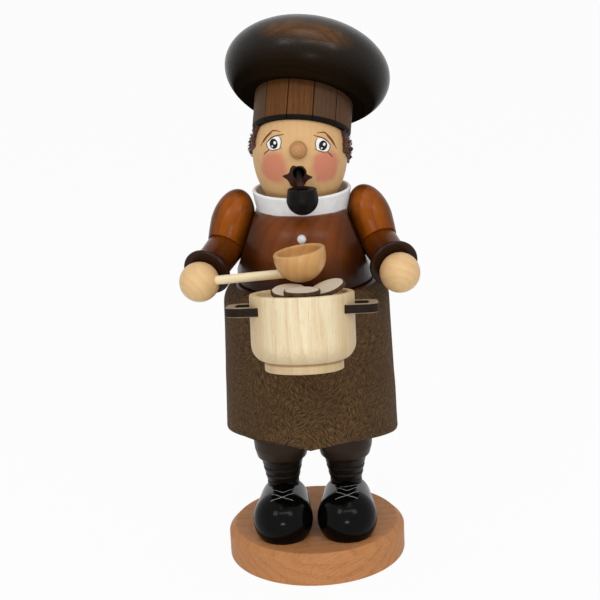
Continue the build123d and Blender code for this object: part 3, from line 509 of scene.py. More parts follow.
@dataclass(frozen=True)
class PaintFinish:
    """Brushed or sprayed paint with uneven gloss."""

    colour: Colour
    shadow: Colour
    roughness: float = 0.4
    unevenness: float = 0.12
    scratches: float = 0.0
    specular: float = 0.4
    relief: float = 0.03

    def material(self, palette: Palette, name: str, seat: Seat = Seat(),
                 shades: tuple[Shade, ...] = ()) -> Material:
        """Makes the paint's material for one piece.

        Args:
            palette: Palette that holds the shared effects.
            name: Name of the material.
            seat: Seat that the pattern follows.
            shades: Sprayed shades over the paint.

        Returns:
            The material.
        """
        s, shader, place = palette.start(name, seat)
        cloud = s.span(s.noise(place, (0.35, 0.35, 0.35), 4.0), 0.35, 0.75)
        wear = s.group(palette.effects.lacquer, Vector=place, Roughness=self.roughness,
                       Unevenness=self.unevenness, Scratches=self.scratches)
        colour = palette.shaded(s, place, s.mix(cloud, self.colour, self.shadow), shades)
        if self.scratches:
            grey = paint(120, 118, 115)
            colour = s.mix(s.math("MULTIPLY", wear.outputs["Scratch"], 0.3), colour, grey)
        s.fill(shader, Base_Color=colour, Roughness=wear.outputs["Roughness"],
               Specular_IOR_Level=self.specular)
        palette.relief(s, shader, wear.outputs["Height"], self.relief)
        return bpy.data.materials[name]


BEECH = WoodFinish(paint(204, 142, 92), paint(160, 102, 58), ring_width=3.4, wander=6.0, pith=(60.0, 40.0),
                   ring_depth=0.35, fibre=1.2, pores=0.7, roughness=0.5, specular=0.15)
DOWEL = WoodFinish(paint(250, 234, 196), paint(226, 198, 148), ring_depth=0.3, fibre=0.5, pores=0.1,
                   roughness=0.6, specular=0.2)
POT_LIME = WoodFinish(paint(242, 227, 192), paint(198, 156, 98), ring_width=5.5, wander=14.0,
                      pith=(30.0, 16.0),
                      ring_depth=0.34, fibre=0.9, pores=0.4, roughness=0.4, specular=0.3)
MAPLE = WoodFinish(paint(234, 196, 142), paint(206, 158, 102), ring_width=2.4, wander=3.0, pith=(3.0, 2.0),
                   ring_depth=0.28, fibre=0.3, pores=0.08, roughness=0.36, specular=0.35)
FACE_WOOD = WoodFinish(paint(220, 178, 126), paint(196, 150, 98), ring_width=2.6, ring_depth=0.2, fibre=0.3,
                       pores=0.05, roughness=0.5, specular=0.25, pith=(20.0, 12.0))
NOSE_WOOD = WoodFinish(paint(198, 146, 94), paint(150, 100, 58), ring_width=1.2, ring_depth=0.45,
                       pith=(0.5, 0.3),
                       wander=1.2, fibre=0.4, pores=0.4, roughness=0.45, specular=0.3)
CHERRY = WoodFinish(paint(214, 164, 104), paint(180, 128, 72), ring_width=3.0, wander=5.0, pith=(9.0, 3.0),
                    ring_depth=0.35, fibre=0.4, pores=0.15, roughness=0.34, specular=0.35)
AMBER_STAIN = WoodFinish(paint(158, 82, 14), paint(112, 48, 5), ring_width=3.4, wander=6.0, ring_depth=0.4,
                         fibre=0.6, pores=0.2, roughness=0.24, specular=0.11, scratches=0.1)
RED_STAIN = WoodFinish(paint(126, 66, 26), paint(80, 34, 9), ring_width=4.0, wander=8.0, ring_depth=0.35,
                       fibre=0.5,
                       pores=0.2, roughness=0.24, specular=0.11, scratches=0.1)
DARK_STAIN = WoodFinish(paint(50, 28, 17), paint(25, 13, 8), ring_width=2.0, ring_depth=0.4, pores=0.2,
                        roughness=0.2, specular=0.14, scratches=0.15)
HIP_STAIN = WoodFinish(paint(80, 45, 25), paint(40, 20, 10), ring_width=3.0, wander=9.0, ring_depth=0.5,
                       fibre=1.0,
                       pores=0.3, roughness=0.3, specular=0.1, scratches=0.1)
HAT_STAIN = WoodFinish(paint(96, 62, 28), paint(40, 25, 12), ring_width=1.6, wander=3.0, pith=(3.0, 5.0),
                       ring_depth=0.6, fibre=1.1, pores=0.5, roughness=0.26, specular=0.18, scratches=0.25)
BAND_STAIN = WoodFinish(paint(106, 66, 32), paint(58, 33, 14), ring_width=1.6, ring_depth=0.35,
                        fibre=1.3, pores=0.5,
                        roughness=0.55, specular=0.1, scratches=0.1)
BROWN_STEM = WoodFinish(paint(66, 33, 15), paint(32, 14, 7), ring_width=0.7, pith=(1.0, 0.5), roughness=0.45,
                        specular=0.15)
BLACK_LACQUER = PaintFinish(paint(9, 8, 7), paint(5, 5, 4), roughness=0.14, unevenness=0.05, specular=0.08,
                            relief=0.01)
BLACK_SATIN = PaintFinish(paint(17, 15, 14), paint(9, 8, 8), roughness=0.4, scratches=0.25, specular=0.08)
STOCKING = PaintFinish(paint(30, 23, 17), paint(19, 14, 11), roughness=0.4, scratches=0.1, specular=0.16)
WHITE_PAINT = PaintFinish(paint(248, 250, 249), paint(238, 240, 240), roughness=0.5, specular=0.3)
EYE_WHITE = PaintFinish(paint(246, 244, 242), paint(236, 232, 230), roughness=0.35, specular=0.3)
EYE_BLACK = PaintFinish(paint(26, 20, 20), paint(14, 10, 10), roughness=0.3, specular=0.2)
EYE_LINE = PaintFinish(paint(72, 52, 42), paint(46, 32, 26), roughness=0.5, specular=0.2)
BROW_PAINT = PaintFinish(paint(122, 60, 26), paint(96, 44, 18), roughness=0.5, specular=0.2)
LIP_PAINT = PaintFinish(paint(62, 27, 19), paint(44, 17, 12), roughness=0.4, specular=0.2)
LACE_PAINT = PaintFinish(paint(150, 151, 152), paint(140, 140, 140), roughness=0.5)
# Black of soot and of painted shade inside the mouth's bore and on the stem's end in it.
SOOT_AND_SHADE = paint(12, 5, 5)
BLUSH = paint(206, 116, 98)
# Brown of the painted shade on the jacket and the sleeves.
SHADE_BROWN = paint(38, 15, 5)


def socket_ids(tree: Tree) -> dict[str, str]:
    """Identifiers of a tree's inputs by name."""
    return {item.name: item.identifier for item in tree.interface.items_tree if item.in_out == "INPUT"}


class Bench:
    """Makes plain mesh pieces, from Geometry Nodes trees or from mesh code, and puts them in place."""

    sharp_angle = math.radians(38)
    spindle = 100.0
    merge_distance = 0.004

    def __init__(self) -> None:
        """Builds the trees that several pieces share."""
        self.palette = Palette()
        self.lathe = self.lathe_tree()
        self.bar = self.bar_tree()

    @staticmethod
    def new_tree(name: str, inputs: dict[str, str]) -> tuple[Sketch, Node]:
        """Starts a Geometry Nodes tree with named inputs and one geometry output."""
        tree = bpy.data.node_groups.new(name, "GeometryNodeTree")
        for label, kind in inputs.items():
            tree.interface.new_socket(label, in_out="INPUT", socket_type="NodeSocket" + kind)
        tree.interface.new_socket("Geometry", in_out="OUTPUT", socket_type="NodeSocketGeometry")
        sketch = Sketch(tree)
        return sketch, sketch.node("NodeGroupInput")

    def end_tree(self, s: Sketch, given: Node,
                 geometry: Socket) -> Tree:
        """Ends a tree with merged doubles, real instances and the material."""
        merged = s.put("GeometryNodeMergeByDistance", Geometry=geometry, Distance=self.merge_distance * MM)
        real = s.put("GeometryNodeRealizeInstances", Geometry=merged.outputs["Geometry"])
        dressed = s.put("GeometryNodeSetMaterial", Geometry=real.outputs["Geometry"],
                        Material=given.outputs["Material"])
        s.put("NodeGroupOutput", Geometry=dressed.outputs["Geometry"])
        return s.tree

    @staticmethod
    def softened(s: Sketch, curve: Socket, radius: Socket,
                 count: int) -> Socket:
        """Curve with rounded corners."""
        soft = s.node("GeometryNodeFilletCurve", mode="POLY")
        return s.fill(soft, Curve=curve, Radius=radius, Count=count, Limit_Radius=True).outputs["Curve"]

    def drawn(self, s: Sketch, scratch: Socket, count: int) -> Socket:
        """Scratch curve whose corners are rounded by its points' own radii."""
        curve = s.put("GeometryNodeObjectInfo", Object=scratch).outputs["Geometry"]
        return self.softened(s, curve, s.node("GeometryNodeInputRadius").outputs[0], count)

    def lathe_tree(self) -> Tree:
        """Tree that softens an outline's corners and turns it about its axis."""
        s, given = self.new_tree("lathe", {"Outline": "Object", "Segments": "Int", "Material": "Material"})
        outline = self.drawn(s, given.outputs["Outline"], 3)
        ring = s.put("GeometryNodeCurvePrimitiveCircle", Resolution=given.outputs["Segments"],
                     Radius=self.spindle * MM)
        turned = s.put("GeometryNodeCurveToMesh", Curve=ring.outputs["Curve"], Profile_Curve=outline)
        return self.end_tree(s, given, turned.outputs["Mesh"])

    def bar_tree(self) -> Tree:
        """Tree that sweeps a soft-edged flat bar along a path."""
        s, given = self.new_tree("bar", {"Path": "Object", "Width": "Float", "Height": "Float",
                                         "Soft": "Float",
                                         "Material": "Material"})
        path = self.drawn(s, given.outputs["Path"], 10)
        upright = s.fill(s.node("GeometryNodeSetCurveNormal", mode="Z_UP"), Curve=path)
        even = s.put("GeometryNodeSetCurveRadius", Curve=upright.outputs["Curve"], Radius=1.0)
        section = s.put("GeometryNodeCurvePrimitiveQuadrilateral", Width=given.outputs["Width"],
                        Height=given.outputs["Height"])
        soft = self.softened(s, section.outputs["Curve"], given.outputs["Soft"], 3)
        swept = s.put("GeometryNodeCurveToMesh", Curve=even.outputs["Curve"], Profile_Curve=soft,
                      Fill_Caps=True)
        return self.end_tree(s, given, swept.outputs["Mesh"])

    @staticmethod
    def curve(points: list[Point], softness: list[float], closed: bool = False) -> Object:
        """Scratch curve of straight runs, in metres, whose point radii say how soft each corner is."""
        data = bpy.data.curves.new("path", "CURVE")
        data.dimensions = "3D"
        line = data.splines.new("POLY")
        line.points.add(len(points) - 1)
        line.use_cyclic_u = closed
        for spot, place, soft in zip(line.points, points, softness):
            spot.co = (*place, 1.0)
            spot.radius = soft
        made = bpy.data.objects.new("path", data)
        bpy.context.scene.collection.objects.link(made)
        return made

    def grow(self, tree: Tree, values: dict[str, object]) -> Mesh:
        """Runs a Geometry Nodes tree once and keeps its result as a plain mesh.

        Args:
            tree: The tree to run.
            values: Values of its inputs by name.

        Returns:
            The mesh.
        """
        host = bpy.data.objects.new("host", bpy.data.meshes.new("host"))
        bpy.context.scene.collection.objects.link(host)
        modifier = host.modifiers.new("grow", "NODES")
        modifier.node_group = tree
        for name, identifier in socket_ids(tree).items():
            modifier[identifier] = values[name]
        graph = bpy.context.evaluated_depsgraph_get()
        mesh = bpy.data.meshes.new_from_object(
            host.evaluated_get(graph), preserve_all_data_layers=True, depsgraph=graph)
        bpy.data.objects.remove(host)
        return mesh

    def piece(self, name: str, mesh: Mesh, seat: Seat = Seat()) -> Object:
        """Puts a mesh in place as a smooth piece whose faces point outwards."""
        mesh.name = name
        mesh.transform(seat.matrix)
        shape = bmesh.new()
        shape.from_mesh(mesh)
        bmesh.ops.recalc_face_normals(shape, faces=shape.faces)
        shape.to_mesh(mesh)
        shape.free()
        mesh.shade_smooth()
        mesh.set_sharp_from_angle(angle=self.sharp_angle)
        made = bpy.data.objects.new(name, mesh)
        bpy.context.scene.collection.objects.link(made)
        return made

    def turn(self, name: str, outline: Outline, seat: Seat, material: Material,
             segments: int = 96) -> Object:
        """Turns an outline on the lathe.

        Args:
            name: Name of the piece.
            outline: Outline in the seat's radius and height.
            seat: Place and axis of the piece.
            material: Its finish.
            segments: Number of steps round the axis.

        Returns:
            The piece.
        """
        points = outline.supported()
        path = self.curve([((r - self.spindle) * MM, -z * MM, 0.0) for r, z, _ in points],
                          [soft * MM for _, _, soft in points], outline.closed)
        mesh = self.grow(self.lathe, {"Outline": path, "Segments": segments, "Material": material})
        bpy.data.objects.remove(path)
        return self.piece(name, mesh, seat)

    def sweep(self, name: str, points: list[Point], softness: float, size: Point, seat: Seat,
              material: Material) -> Object:
        """Sweeps a flat bar along a path.

        Args:
            name: Name of the piece.
            points: Points of the path in the seat's millimetres.
            softness: Bend radius at the path's inner points.
            size: Width and height of the bar, and the softness of its edges.
            seat: Place and axis of the path.
            material: Its finish.

        Returns:
            The piece.
        """
        bends = [0.0] + [softness * MM] * (len(points) - 2) + [0.0]
        path = self.curve([tuple(v * MM for v in p) for p in points], bends)
        mesh = self.grow(self.bar, {"Path": path, "Width": size[0] * MM, "Height": size[1] * MM,
                                    "Soft": size[2] * MM, "Material": material})
        bpy.data.objects.remove(path)
        return self.piece(name, mesh, seat)

    def cut(self, piece: Object, point: Vector, normal: Vector) -> None:
        """Cuts a piece with a plane and closes the cut; what lies on the normal's side goes."""
        shape = bmesh.new()
        shape.from_mesh(piece.data)
        found = bmesh.ops.bisect_plane(
            shape, geom=shape.verts[:] + shape.edges[:] + shape.faces[:], plane_co=Vector(point) * MM,
            plane_no=normal, clear_outer=True)
        edges = [item for item in found["geom_cut"] if isinstance(item, bmesh.types.BMEdge)]
        bmesh.ops.holes_fill(shape, edges=edges)
        bmesh.ops.recalc_face_normals(shape, faces=shape.faces)
        for face in shape.faces:
            face.smooth = True
        shape.to_mesh(piece.data)
        shape.free()
        piece.data.set_sharp_from_angle(angle=self.sharp_angle)

    def mesh(self, name: str, spots: list[Vector], faces: Faces,
             material: Material) -> Mesh:
        """Mesh from points in millimetres and faces."""
        made = bpy.data.meshes.new(name)
        made.from_pydata([tuple(Vector(p) * MM) for p in spots], [], faces)
        made.materials.append(material)
        return made

    @staticmethod
    def fit(piece: Object, body: Body, slot: str, *nodes: str) -> Object:
        """Rides a piece on its body, hides the imported nodes that it stands for, and reports it."""
        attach(piece, body.value)
        if nodes:
            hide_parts(*nodes)
        LOG.info("%s on %s, %d faces", piece.name, body.value, len(piece.data.polygons))
        return piece

    @staticmethod
    def dress(node: str, material: Material) -> None:
        """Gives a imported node's own object a finish."""
        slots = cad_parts[node].data.materials
        slots.clear()
        slots.append(material)
        LOG.info("%s dressed in %s", node, material.name)


def height_of(node: str, top: bool = True) -> float:
    """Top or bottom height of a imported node, in millimetres."""
    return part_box(node)[1 if top else 0].z / MM


@dataclass
class BaseAndLegs:
    """Beech base, laced shoes and ringed legs."""

    bench: Bench
    radius: float = 35.0
    chamfer: float = 2.6
    edge: float = 0.6
    leg_x: float = 12.5
    toe_radius: float = 11.7
    toe_forward: float = 14.8
    heel_radius: float = 9.8
    heel_back: float = 2.5
    axis_height: float = 7.0
    ankle_radius: float = 6.3
    calf_radius: float = 8.3
    stocking: float = 12.2
    rings: int = 3
    groove: float = 0.45
    breeches_radius: float = 11.0
    breeches_edge: float = 9.7
    lace_width: float = 0.28

    def __post_init__(self) -> None:
        """Takes the stack's heights from the frame."""
        self.top = height_of("base_disc")
        self.hip = height_of("hip_block", top=False)
        self.seat_height = height_of("leg_left", top=False)

    def build(self) -> None:
        """Builds the base, then each foot."""
        self.base()
        for side, x in (("left", -self.leg_x), ("right", self.leg_x)):
            self.leg(side, x)
            self.shoe(side, x)
            self.laces(side, x)
        self.bench.dress("foot_dowels", DOWEL.material(self.bench.palette, "foot_dowel_wood", Seat()))

    def base(self) -> None:
        """Turned disc with a chamfered edge; its grain lies across it."""
        grain = Seat((0, 0, 6), (0.86, 0.42, 0.26), (0, 0, 1))
        wood = BEECH.material(self.bench.palette, "base_wood", grain)
        outline = (Outline().to(0, 0).to(self.radius, 0, self.edge)
                   .to(self.radius, self.top - self.chamfer, self.edge)
                   .to(self.radius - self.chamfer, self.top, self.edge).to(0, self.top))
        disc = self.bench.turn("base_disc_turned", outline, Seat(), wood, 160)
        self.bench.fit(disc, Body.LOWER, "beech_base", "base_disc")

    def leg(self, side: str, x: float) -> None:
        """Stocking with turned rings under full breeches."""
        seat = Seat((x, 0, 0))
        leg_end = self.seat_height - self.groove
        outline = Outline().to(0, leg_end).to(self.ankle_radius, leg_end)
        pitch = self.stocking / (self.rings + 1)
        slope = (self.calf_radius - self.ankle_radius) / (self.stocking - pitch)
        for ring in range(1, self.rings + 1):
            height = self.seat_height + ring * pitch
            radius = self.ankle_radius + slope * (ring - 1) * pitch
            outline.to(radius, height - self.groove, 0.25).to(radius - self.groove, height, 0.12)
            outline.to(radius, height + self.groove, 0.25)
        calf = self.seat_height + self.stocking
        outline.to(self.calf_radius, calf, 0.3).to(self.breeches_edge, calf + 1.2, 1.2)
        outline.to(self.breeches_radius - 0.3, calf + 4.8, 2.0).to(self.breeches_radius, calf + 8.6, 2.0)
        outline.to(self.breeches_radius - self.groove, self.hip).to(0, self.hip)
        paint_on = STOCKING.material(self.bench.palette, "leg_paint_" + side, seat, (
            Shade(Along.Z, calf - 1.0, calf + 3.0, paint(54, 38, 26), 0.8),))
        leg = self.bench.turn("leg_turned_" + side, outline, seat, paint_on)
        self.bench.fit(leg, Body.LOWER, "dark_leg", "leg_" + side)

    def shoe_seat(self, x: float) -> Seat:
        """Seat of a shoe's own axis, from the toe's centre to the heel."""
        return Seat((x, -self.toe_forward, self.top + self.axis_height), (0, 1, 0))

    def shoe(self, side: str, x: float) -> None:
        """Turned pear laid on its side and flattened underneath."""
        length = self.toe_forward + self.heel_back
        outline = Outline().arc((0, 0), (self.toe_radius,) * 2, -90, 0)
        outline.arc((0, length), (self.heel_radius,) * 2, 0, 90)
        lacquer = BLACK_LACQUER.material(self.bench.palette, "shoe_lacquer_" + side, self.shoe_seat(x))
        shoe = self.bench.turn("shoe_turned_" + side, outline, self.shoe_seat(x), lacquer)
        self.bench.cut(shoe, Vector((0, 0, self.top)), Vector((0, 0, -1)))
        self.bench.fit(shoe, Body.LOWER, "black_shoe", "shoe_" + side)

    def on_shoe(self, x: float, across: float, back: float) -> Point:
        """Point on the shoe's top, at a distance across from its middle and back from the toe's centre."""
        share = back / (self.toe_forward + self.heel_back)
        radius = self.toe_radius + (self.heel_radius - self.toe_radius) * max(share, 0.0)
        rise = math.sqrt(radius ** 2 - across ** 2 - min(back, 0.0) ** 2)
        return (x + across, back - self.toe_forward, self.top + self.axis_height + rise)

    def laces(self, side: str, x: float) -> None:
        """Two crossed laces and bow lines painted over the instep."""
        lines = [
            [(-4.2, -5.2), (0.4, -4.4), (4.9, -0.8)],
            [(-4.0, -1.5), (0.3, -4.5), (4.4, -5.1)],
            [(-4.0, 3.2), (0.6, -1.6), (5.1, 5.4)],
        ]
        if side == "right":
            lines.append([(-2.6, 2.6), (0.9, 2.7), (4.5, 7.5)])
        material = LACE_PAINT.material(self.bench.palette, "lace_paint_" + side)
        for index, line in enumerate(lines):
            points = [self.on_shoe(x, across, back) for across, back in smooth_line(line, 8)]
            lace = self.bench.sweep(f"lace_{side}_{index}", points, 0.0,
                                    (self.lace_width, self.lace_width * 0.7, 0.12), Seat(), material)
            self.bench.fit(lace, Body.LOWER, "white_paint")


@dataclass
class HipAndApron:
    """Stained hip block with its brass incense plate, and the leather apron round it."""

    bench: Bench
    bottom_radius: float = 32.15
    top_radius: float = 30.4
    shoulder: float = 9.0
    shoulder_angle: float = 58.0
    gap: float = 0.05
    thickness: float = 1.2
    wrap: float = 104.0
    over_shoulder: float = 50.0
    hem_side: float = 50.6
    hem_rise: float = 6.2
    hem_point: float = 2.4
    point_spread: float = 26.0
    hem_skew: float = 2.6
    columns: int = 150
    rows: int = 70
    ripple: float = 0.25

    def __post_init__(self) -> None:
        """Takes the hip's heights from the frame."""
        self.low = height_of("hip_block", top=False)
        self.top = height_of("jacket", top=False)
        self.shoulder_z = self.top - self.shoulder * math.sin(math.radians(self.shoulder_angle))

    def build(self) -> None:
        """Dresses the hip and its plate, and makes the apron."""
        palette = self.bench.palette
        stain = HIP_STAIN.material(palette, "hip_wood", Seat())
        self.bench.dress("hip_block", stain)
        self.bench.dress("hip_ring", stain)
        brass = self.brass()
        self.bench.dress("incense_plate", brass)
        self.bench.dress("plate_tacks", brass)
        self.apron()

    def brass(self) -> Material:
        """Brass sheet browned by smoke."""
        s, shader, place = self.bench.palette.start("smoked_brass", Seat((0, 0, self.top)))
        stain = s.span(s.noise(place, (0.25, 0.25, 0.25), 5.0), 0.4, 0.7)
        s.fill(shader, Base_Color=s.mix(stain, paint(206, 172, 96), paint(120, 84, 44)),
               Roughness=s.math("ADD", s.math("MULTIPLY", stain, 0.3), 0.25), Metallic=1.0)
        self.bench.palette.relief(s, shader, s.noise(place, (2.0, 2.0, 2.0)), 0.03)
        return bpy.data.materials["smoked_brass"]

    def hem(self, angle: float) -> float:
        """Hem's height at an angle from the front: it rises forward and to the left, and dips to a point."""
        point = max(0.0, 1 - abs(angle) / self.point_spread)
        turn = math.radians(angle)
        level = self.hem_side + self.hem_rise * math.cos(turn) + self.hem_skew * max(0.0, -math.sin(turn))
        return level - self.hem_point * point ** 1.4

    def side_radius(self, height: float) -> float:
        """Radius of the hip's side, carried on below it, at a height."""
        slope = (self.bottom_radius - self.top_radius) / (self.shoulder_z - self.low)
        return self.top_radius + slope * (self.shoulder_z - height)

    def skin(self, angle: float, share: float) -> tuple[Vector, Vector]:
        """Point of the apron's middle surface and its outward direction.

        Args:
            angle: Angle from the front, in degrees.
            share: From 0 at the hem to 1 at the top edge.

        Returns:
            The point in millimetres, and the outward direction.
        """
        out = self.gap + self.thickness / 2
        hem = self.hem(angle)
        straight = self.shoulder_z - hem
        bend = math.radians(self.over_shoulder) * (self.shoulder + out)
        run = share * (straight + bend)
        if run <= straight:
            height = hem + run
            radius = self.side_radius(height) + out
            lift = 0.0
        else:
            lift = (run - straight) / (self.shoulder + out)
            radius = self.top_radius - self.shoulder + (self.shoulder + out) * math.cos(lift)
            height = self.shoulder_z + (self.shoulder + out) * math.sin(lift)
        turn = math.radians(angle)
        ahead = Vector((math.sin(turn), -math.cos(turn), 0.0))
        normal = ahead * math.cos(lift) + Vector((0, 0, math.sin(lift)))
        wave = noise.noise(Vector((angle * 0.05, share * 4.0, 3.0)))
        spot = ahead * radius + Vector((0, 0, height)) + normal * self.ripple * max(wave, 0.0)
        return spot, normal

    def apron(self) -> None:
        """One leather sheet with rounded cut edges."""
        inner, outer = [], []
        for row in range(self.rows + 1):
            for column in range(self.columns + 1):
                spot, normal = self.skin(self.wrap * (2 * column / self.columns - 1), row / self.rows)
                border = min(row, self.rows - row, column, self.columns - column)
                half = self.thickness / 2 * (0.55 if border == 0 else 1.0)
                outer.append(spot + normal * half)
                inner.append(spot - normal * self.thickness / 2)
        faces = sheet_faces(self.rows, self.columns, 0, len(outer))
        mesh = self.bench.mesh("apron_leather_sheet", outer + inner, faces, self.leather())
        apron = self.bench.piece("apron_leather_sheet", mesh)
        self.bench.fit(apron, Body.LOWER, "apron_leather", "apron")

    def leather(self) -> Material:
        """Brushed suede: short strokes that change their way from patch to patch, with dark pits."""
        s, shader, place = self.bench.palette.start("brushed_leather", Seat())
        parts = s.node("ShaderNodeSeparateXYZ")
        s.feed(parts.inputs[0], place)
        turn = s.math("ARCTAN2", parts.outputs["X"], s.math("MULTIPLY", parts.outputs["Y"], -1.0))
        flat = s.put("ShaderNodeCombineXYZ", X=s.math("MULTIPLY", turn, self.bottom_radius),
                     Y=parts.outputs["Z"])
        spread = flat.outputs[0]
        strokes = None
        for index, angle in enumerate((4, 34, -28, 68)):
            turned = s.node("ShaderNodeVectorRotate", rotation_type="Z_AXIS")
            s.fill(turned, Vector=spread, Angle=math.radians(angle))
            layer = s.noise(s.vector("ADD", turned.outputs[0], (0.0, 0.0, 9.0 * index)), (2.2, 0.4, 1.0), 4.0)
            if strokes is None:
                strokes = layer
                continue
            where = s.noise(s.vector("ADD", spread, (0.0, 0.0, 31.0 * index)), (0.09, 0.07, 1.0), 2.0)
            blend = s.node("ShaderNodeMix", data_type="FLOAT")
            s.feed(blend.inputs[0], s.span(where, 0.46, 0.58))
            s.feed(blend.inputs[2], strokes)
            s.feed(blend.inputs[3], layer)
            strokes = blend.outputs[0]
        nap = s.noise(spread, (2.6, 1.6, 1.0), 3.0)
        streak = s.math("ADD", s.math("MULTIPLY", strokes, 0.7), s.math("MULTIPLY", nap, 0.3))
        patch = s.span(s.noise(spread, (0.05, 0.04, 1.0), 3.0), 0.35, 0.7)
        tone = s.mix(s.span(streak, 0.4, 0.62), paint(54, 38, 22), paint(112, 84, 54))
        tone = s.mix(s.math("MULTIPLY", patch, 0.45), tone, paint(68, 50, 31))
        pit = s.span(s.noise(spread, (1.5, 0.8, 1.0), 2.0), 0.36, 0.28)
        s.fill(shader, Base_Color=s.mix(pit, tone, paint(28, 19, 12)), Roughness=0.85,
               Specular_IOR_Level=0.12, Sheen_Weight=0.03, Sheen_Roughness=0.5)
        self.bench.palette.relief(s, shader, s.math("SUBTRACT", streak, pit), 0.3)
        return bpy.data.materials["brushed_leather"]


@dataclass
class StockPot:
    """Leaning pot with plywood handles and branch slices."""

    bench: Bench
    rim_radius: float = 18.4
    height: float = 27.0
    foot_radius: float = 13.9
    foot_height: float = 3.4
    groove: float = 0.8
    belly_height: float = 9.5
    wall: float = 2.5
    recess: float = 2.2
    lean: float = 9.5
    rim_above_hip: float = 7.6
    back_y: float = -31.75
    touch_z: float = 104.367
    handle_reach: float = 8.2
    handle_width: float = 22.0
    handle_bar: float = 3.4
    handle_thickness: float = 3.3
    handle_below: float = 3.95
    handle_pitch: float = -2.0
    handle_corner: float = 5.5
    slice_radius: float = 6.6
    slice_thickness: float = 1.5
    bark: float = 0.55

    def __post_init__(self) -> None:
        """Works out the pot's own seat at the middle of its rim."""
        lean = math.radians(self.lean)
        rim_z = height_of("jacket", top=False) + self.rim_above_hip
        axis_y = self.back_y - self.rim_radius / math.cos(lean)
        self.axis = (0.0, math.sin(lean), math.cos(lean))
        self.seat = Seat((0.0, axis_y + (rim_z - self.touch_z) * math.tan(lean), rim_z), self.axis)

    def build(self) -> None:
        """Builds the pot, its handles and the slices."""
        self.pot()
        for side, sign in (("left", -1), ("right", 1)):
            self.handle(side, sign)
        self.slices()
        self.bench.dress("pot_dowel", DOWEL.material(self.bench.palette, "pot_dowel_wood", Seat()))

    def pot(self) -> None:
        """Turned pot with a foot, a groove and a recessed top."""
        neck = self.foot_height - self.height
        belly = self.belly_height - self.height
        outline = Outline().to(0, -self.height).to(self.foot_radius, -self.height, 0.5)
        outline.to(self.foot_radius, neck - self.groove, 0.3).to(self.foot_radius - self.groove, neck, 0.15)
        outline.arc((self.foot_radius - self.groove, belly),
                    (self.rim_radius - self.foot_radius + self.groove, belly - neck), -90, 0)
        outline.to(self.rim_radius, 0, 0.55).to(self.rim_radius - self.wall, 0, 0.5)
        outline.to(self.rim_radius - self.wall, -self.recess, 0.3).to(0, -self.recess)
        # Painted shade: the pot darkens in its recess and round its foot, in a band under the belly (partly
        # scuffs) and towards its sides (partly its streaks).
        wood = POT_LIME.material(self.bench.palette, "pot_wood", self.seat, (
            Shade(Along.RADIUS, 15.6, 14.6, paint(170, 132, 84), 0.25),
            Shade(Along.Z, -16.0, -22.5, paint(192, 160, 110), 0.35),
            Shade(Along.SIDEWAYS, 8.0, 18.0, paint(200, 164, 108), 0.55)))
        pot = self.bench.turn("pot_turned", outline, self.seat, wood, 144)
        self.bench.fit(pot, Body.LOWER, "pot_maple", "pot")

    def handle(self, side: str, sign: int) -> None:
        """Loop handle of plywood, charred where it was cut."""
        tilt = math.radians(self.handle_pitch)
        centre = self.seat.at(0, 0, -self.handle_below - self.handle_thickness / 2)
        turn = self.seat.matrix.to_3x3() @ Matrix.Rotation(tilt, 3, "X")
        seat = Seat(tuple(centre), tuple(turn.col[2]), tuple(turn.col[0]))
        half = self.handle_width / 2 - self.handle_bar / 2
        inside = math.sqrt(self.rim_radius ** 2 - (self.handle_width / 2) ** 2) - 1.2
        reach = self.rim_radius + self.handle_reach - self.handle_bar / 2
        path = [(inside, -half, 0), (reach, -half, 0), (reach, half, 0), (inside, half, 0)]
        path = [(sign * x, y, z) for x, y, z in path]
        handle = self.bench.sweep(
            "pot_handle_loop_" + side, path, self.handle_corner - self.handle_bar / 2,
            (self.handle_bar, self.handle_thickness, 0.35), seat, self.plywood(side, seat))
        self.bench.fit(handle, Body.LOWER, "handle_ply", "pot_handle_" + side)

    def plywood(self, side: str, seat: Seat) -> Material:
        """Grey-brown plywood face with charred cut edges and the glue lines of its plies."""
        name = "handle_plywood_" + side
        s, shader, place = self.bench.palette.start(name, seat)
        level = self.bench.palette.coordinate(s, place, Along.Z)
        grain = s.group(self.bench.palette.effects.grain, Vector=s.vector("MULTIPLY", place, (0.1, 1.0, 1.0)),
                        Light=paint(176, 156, 130), Dark=paint(116, 96, 76), Ring_Width=0.9, Wander=2.0,
                        Ring_Depth=0.6, Fibre=1.0, Pores=0.5)
        char = s.mix(s.noise(place, (0.8, 0.8, 2.0), 4.0), paint(14, 10, 8), paint(48, 34, 24))
        ply = s.math("ABSOLUTE", s.math("SINE", s.math("MULTIPLY", level, math.pi / 1.1)))
        char = s.mix(s.math("MULTIPLY", s.span(ply, 0.25, 0.0), 0.6), char, paint(8, 6, 5))
        half_thick = self.handle_thickness / 2
        face = s.span(s.math("ABSOLUTE", level), half_thick - 0.3, half_thick - 0.08)
        s.fill(shader, Base_Color=s.mix(face, char, grain.outputs["Color"]), Roughness=0.65,
               Specular_IOR_Level=0.1)
        self.bench.palette.relief(s, shader, grain.outputs["Height"], 0.08)
        return bpy.data.materials[name]

    def slices(self) -> None:
        """Two slices that lean on the recess and one that lies across them, each at its packed place."""
        leans = {"left": (15.0, 0.0), "right": (16.0, -16.0), "front": (5.0, 0.0)}
        for index, (name, (tilt, roll)) in enumerate(leans.items()):
            low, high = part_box("slice_" + name)
            turn = self.seat.matrix.to_3x3() @ Matrix.Rotation(math.radians(tilt), 3, "X")
            turn = turn @ Matrix.Rotation(math.radians(roll), 3, "Y")
            seat = Seat(tuple((low + high) / 2 / MM), tuple(turn.col[2]), tuple(turn.col[0]))
            self.branch_slice(name, seat, index)

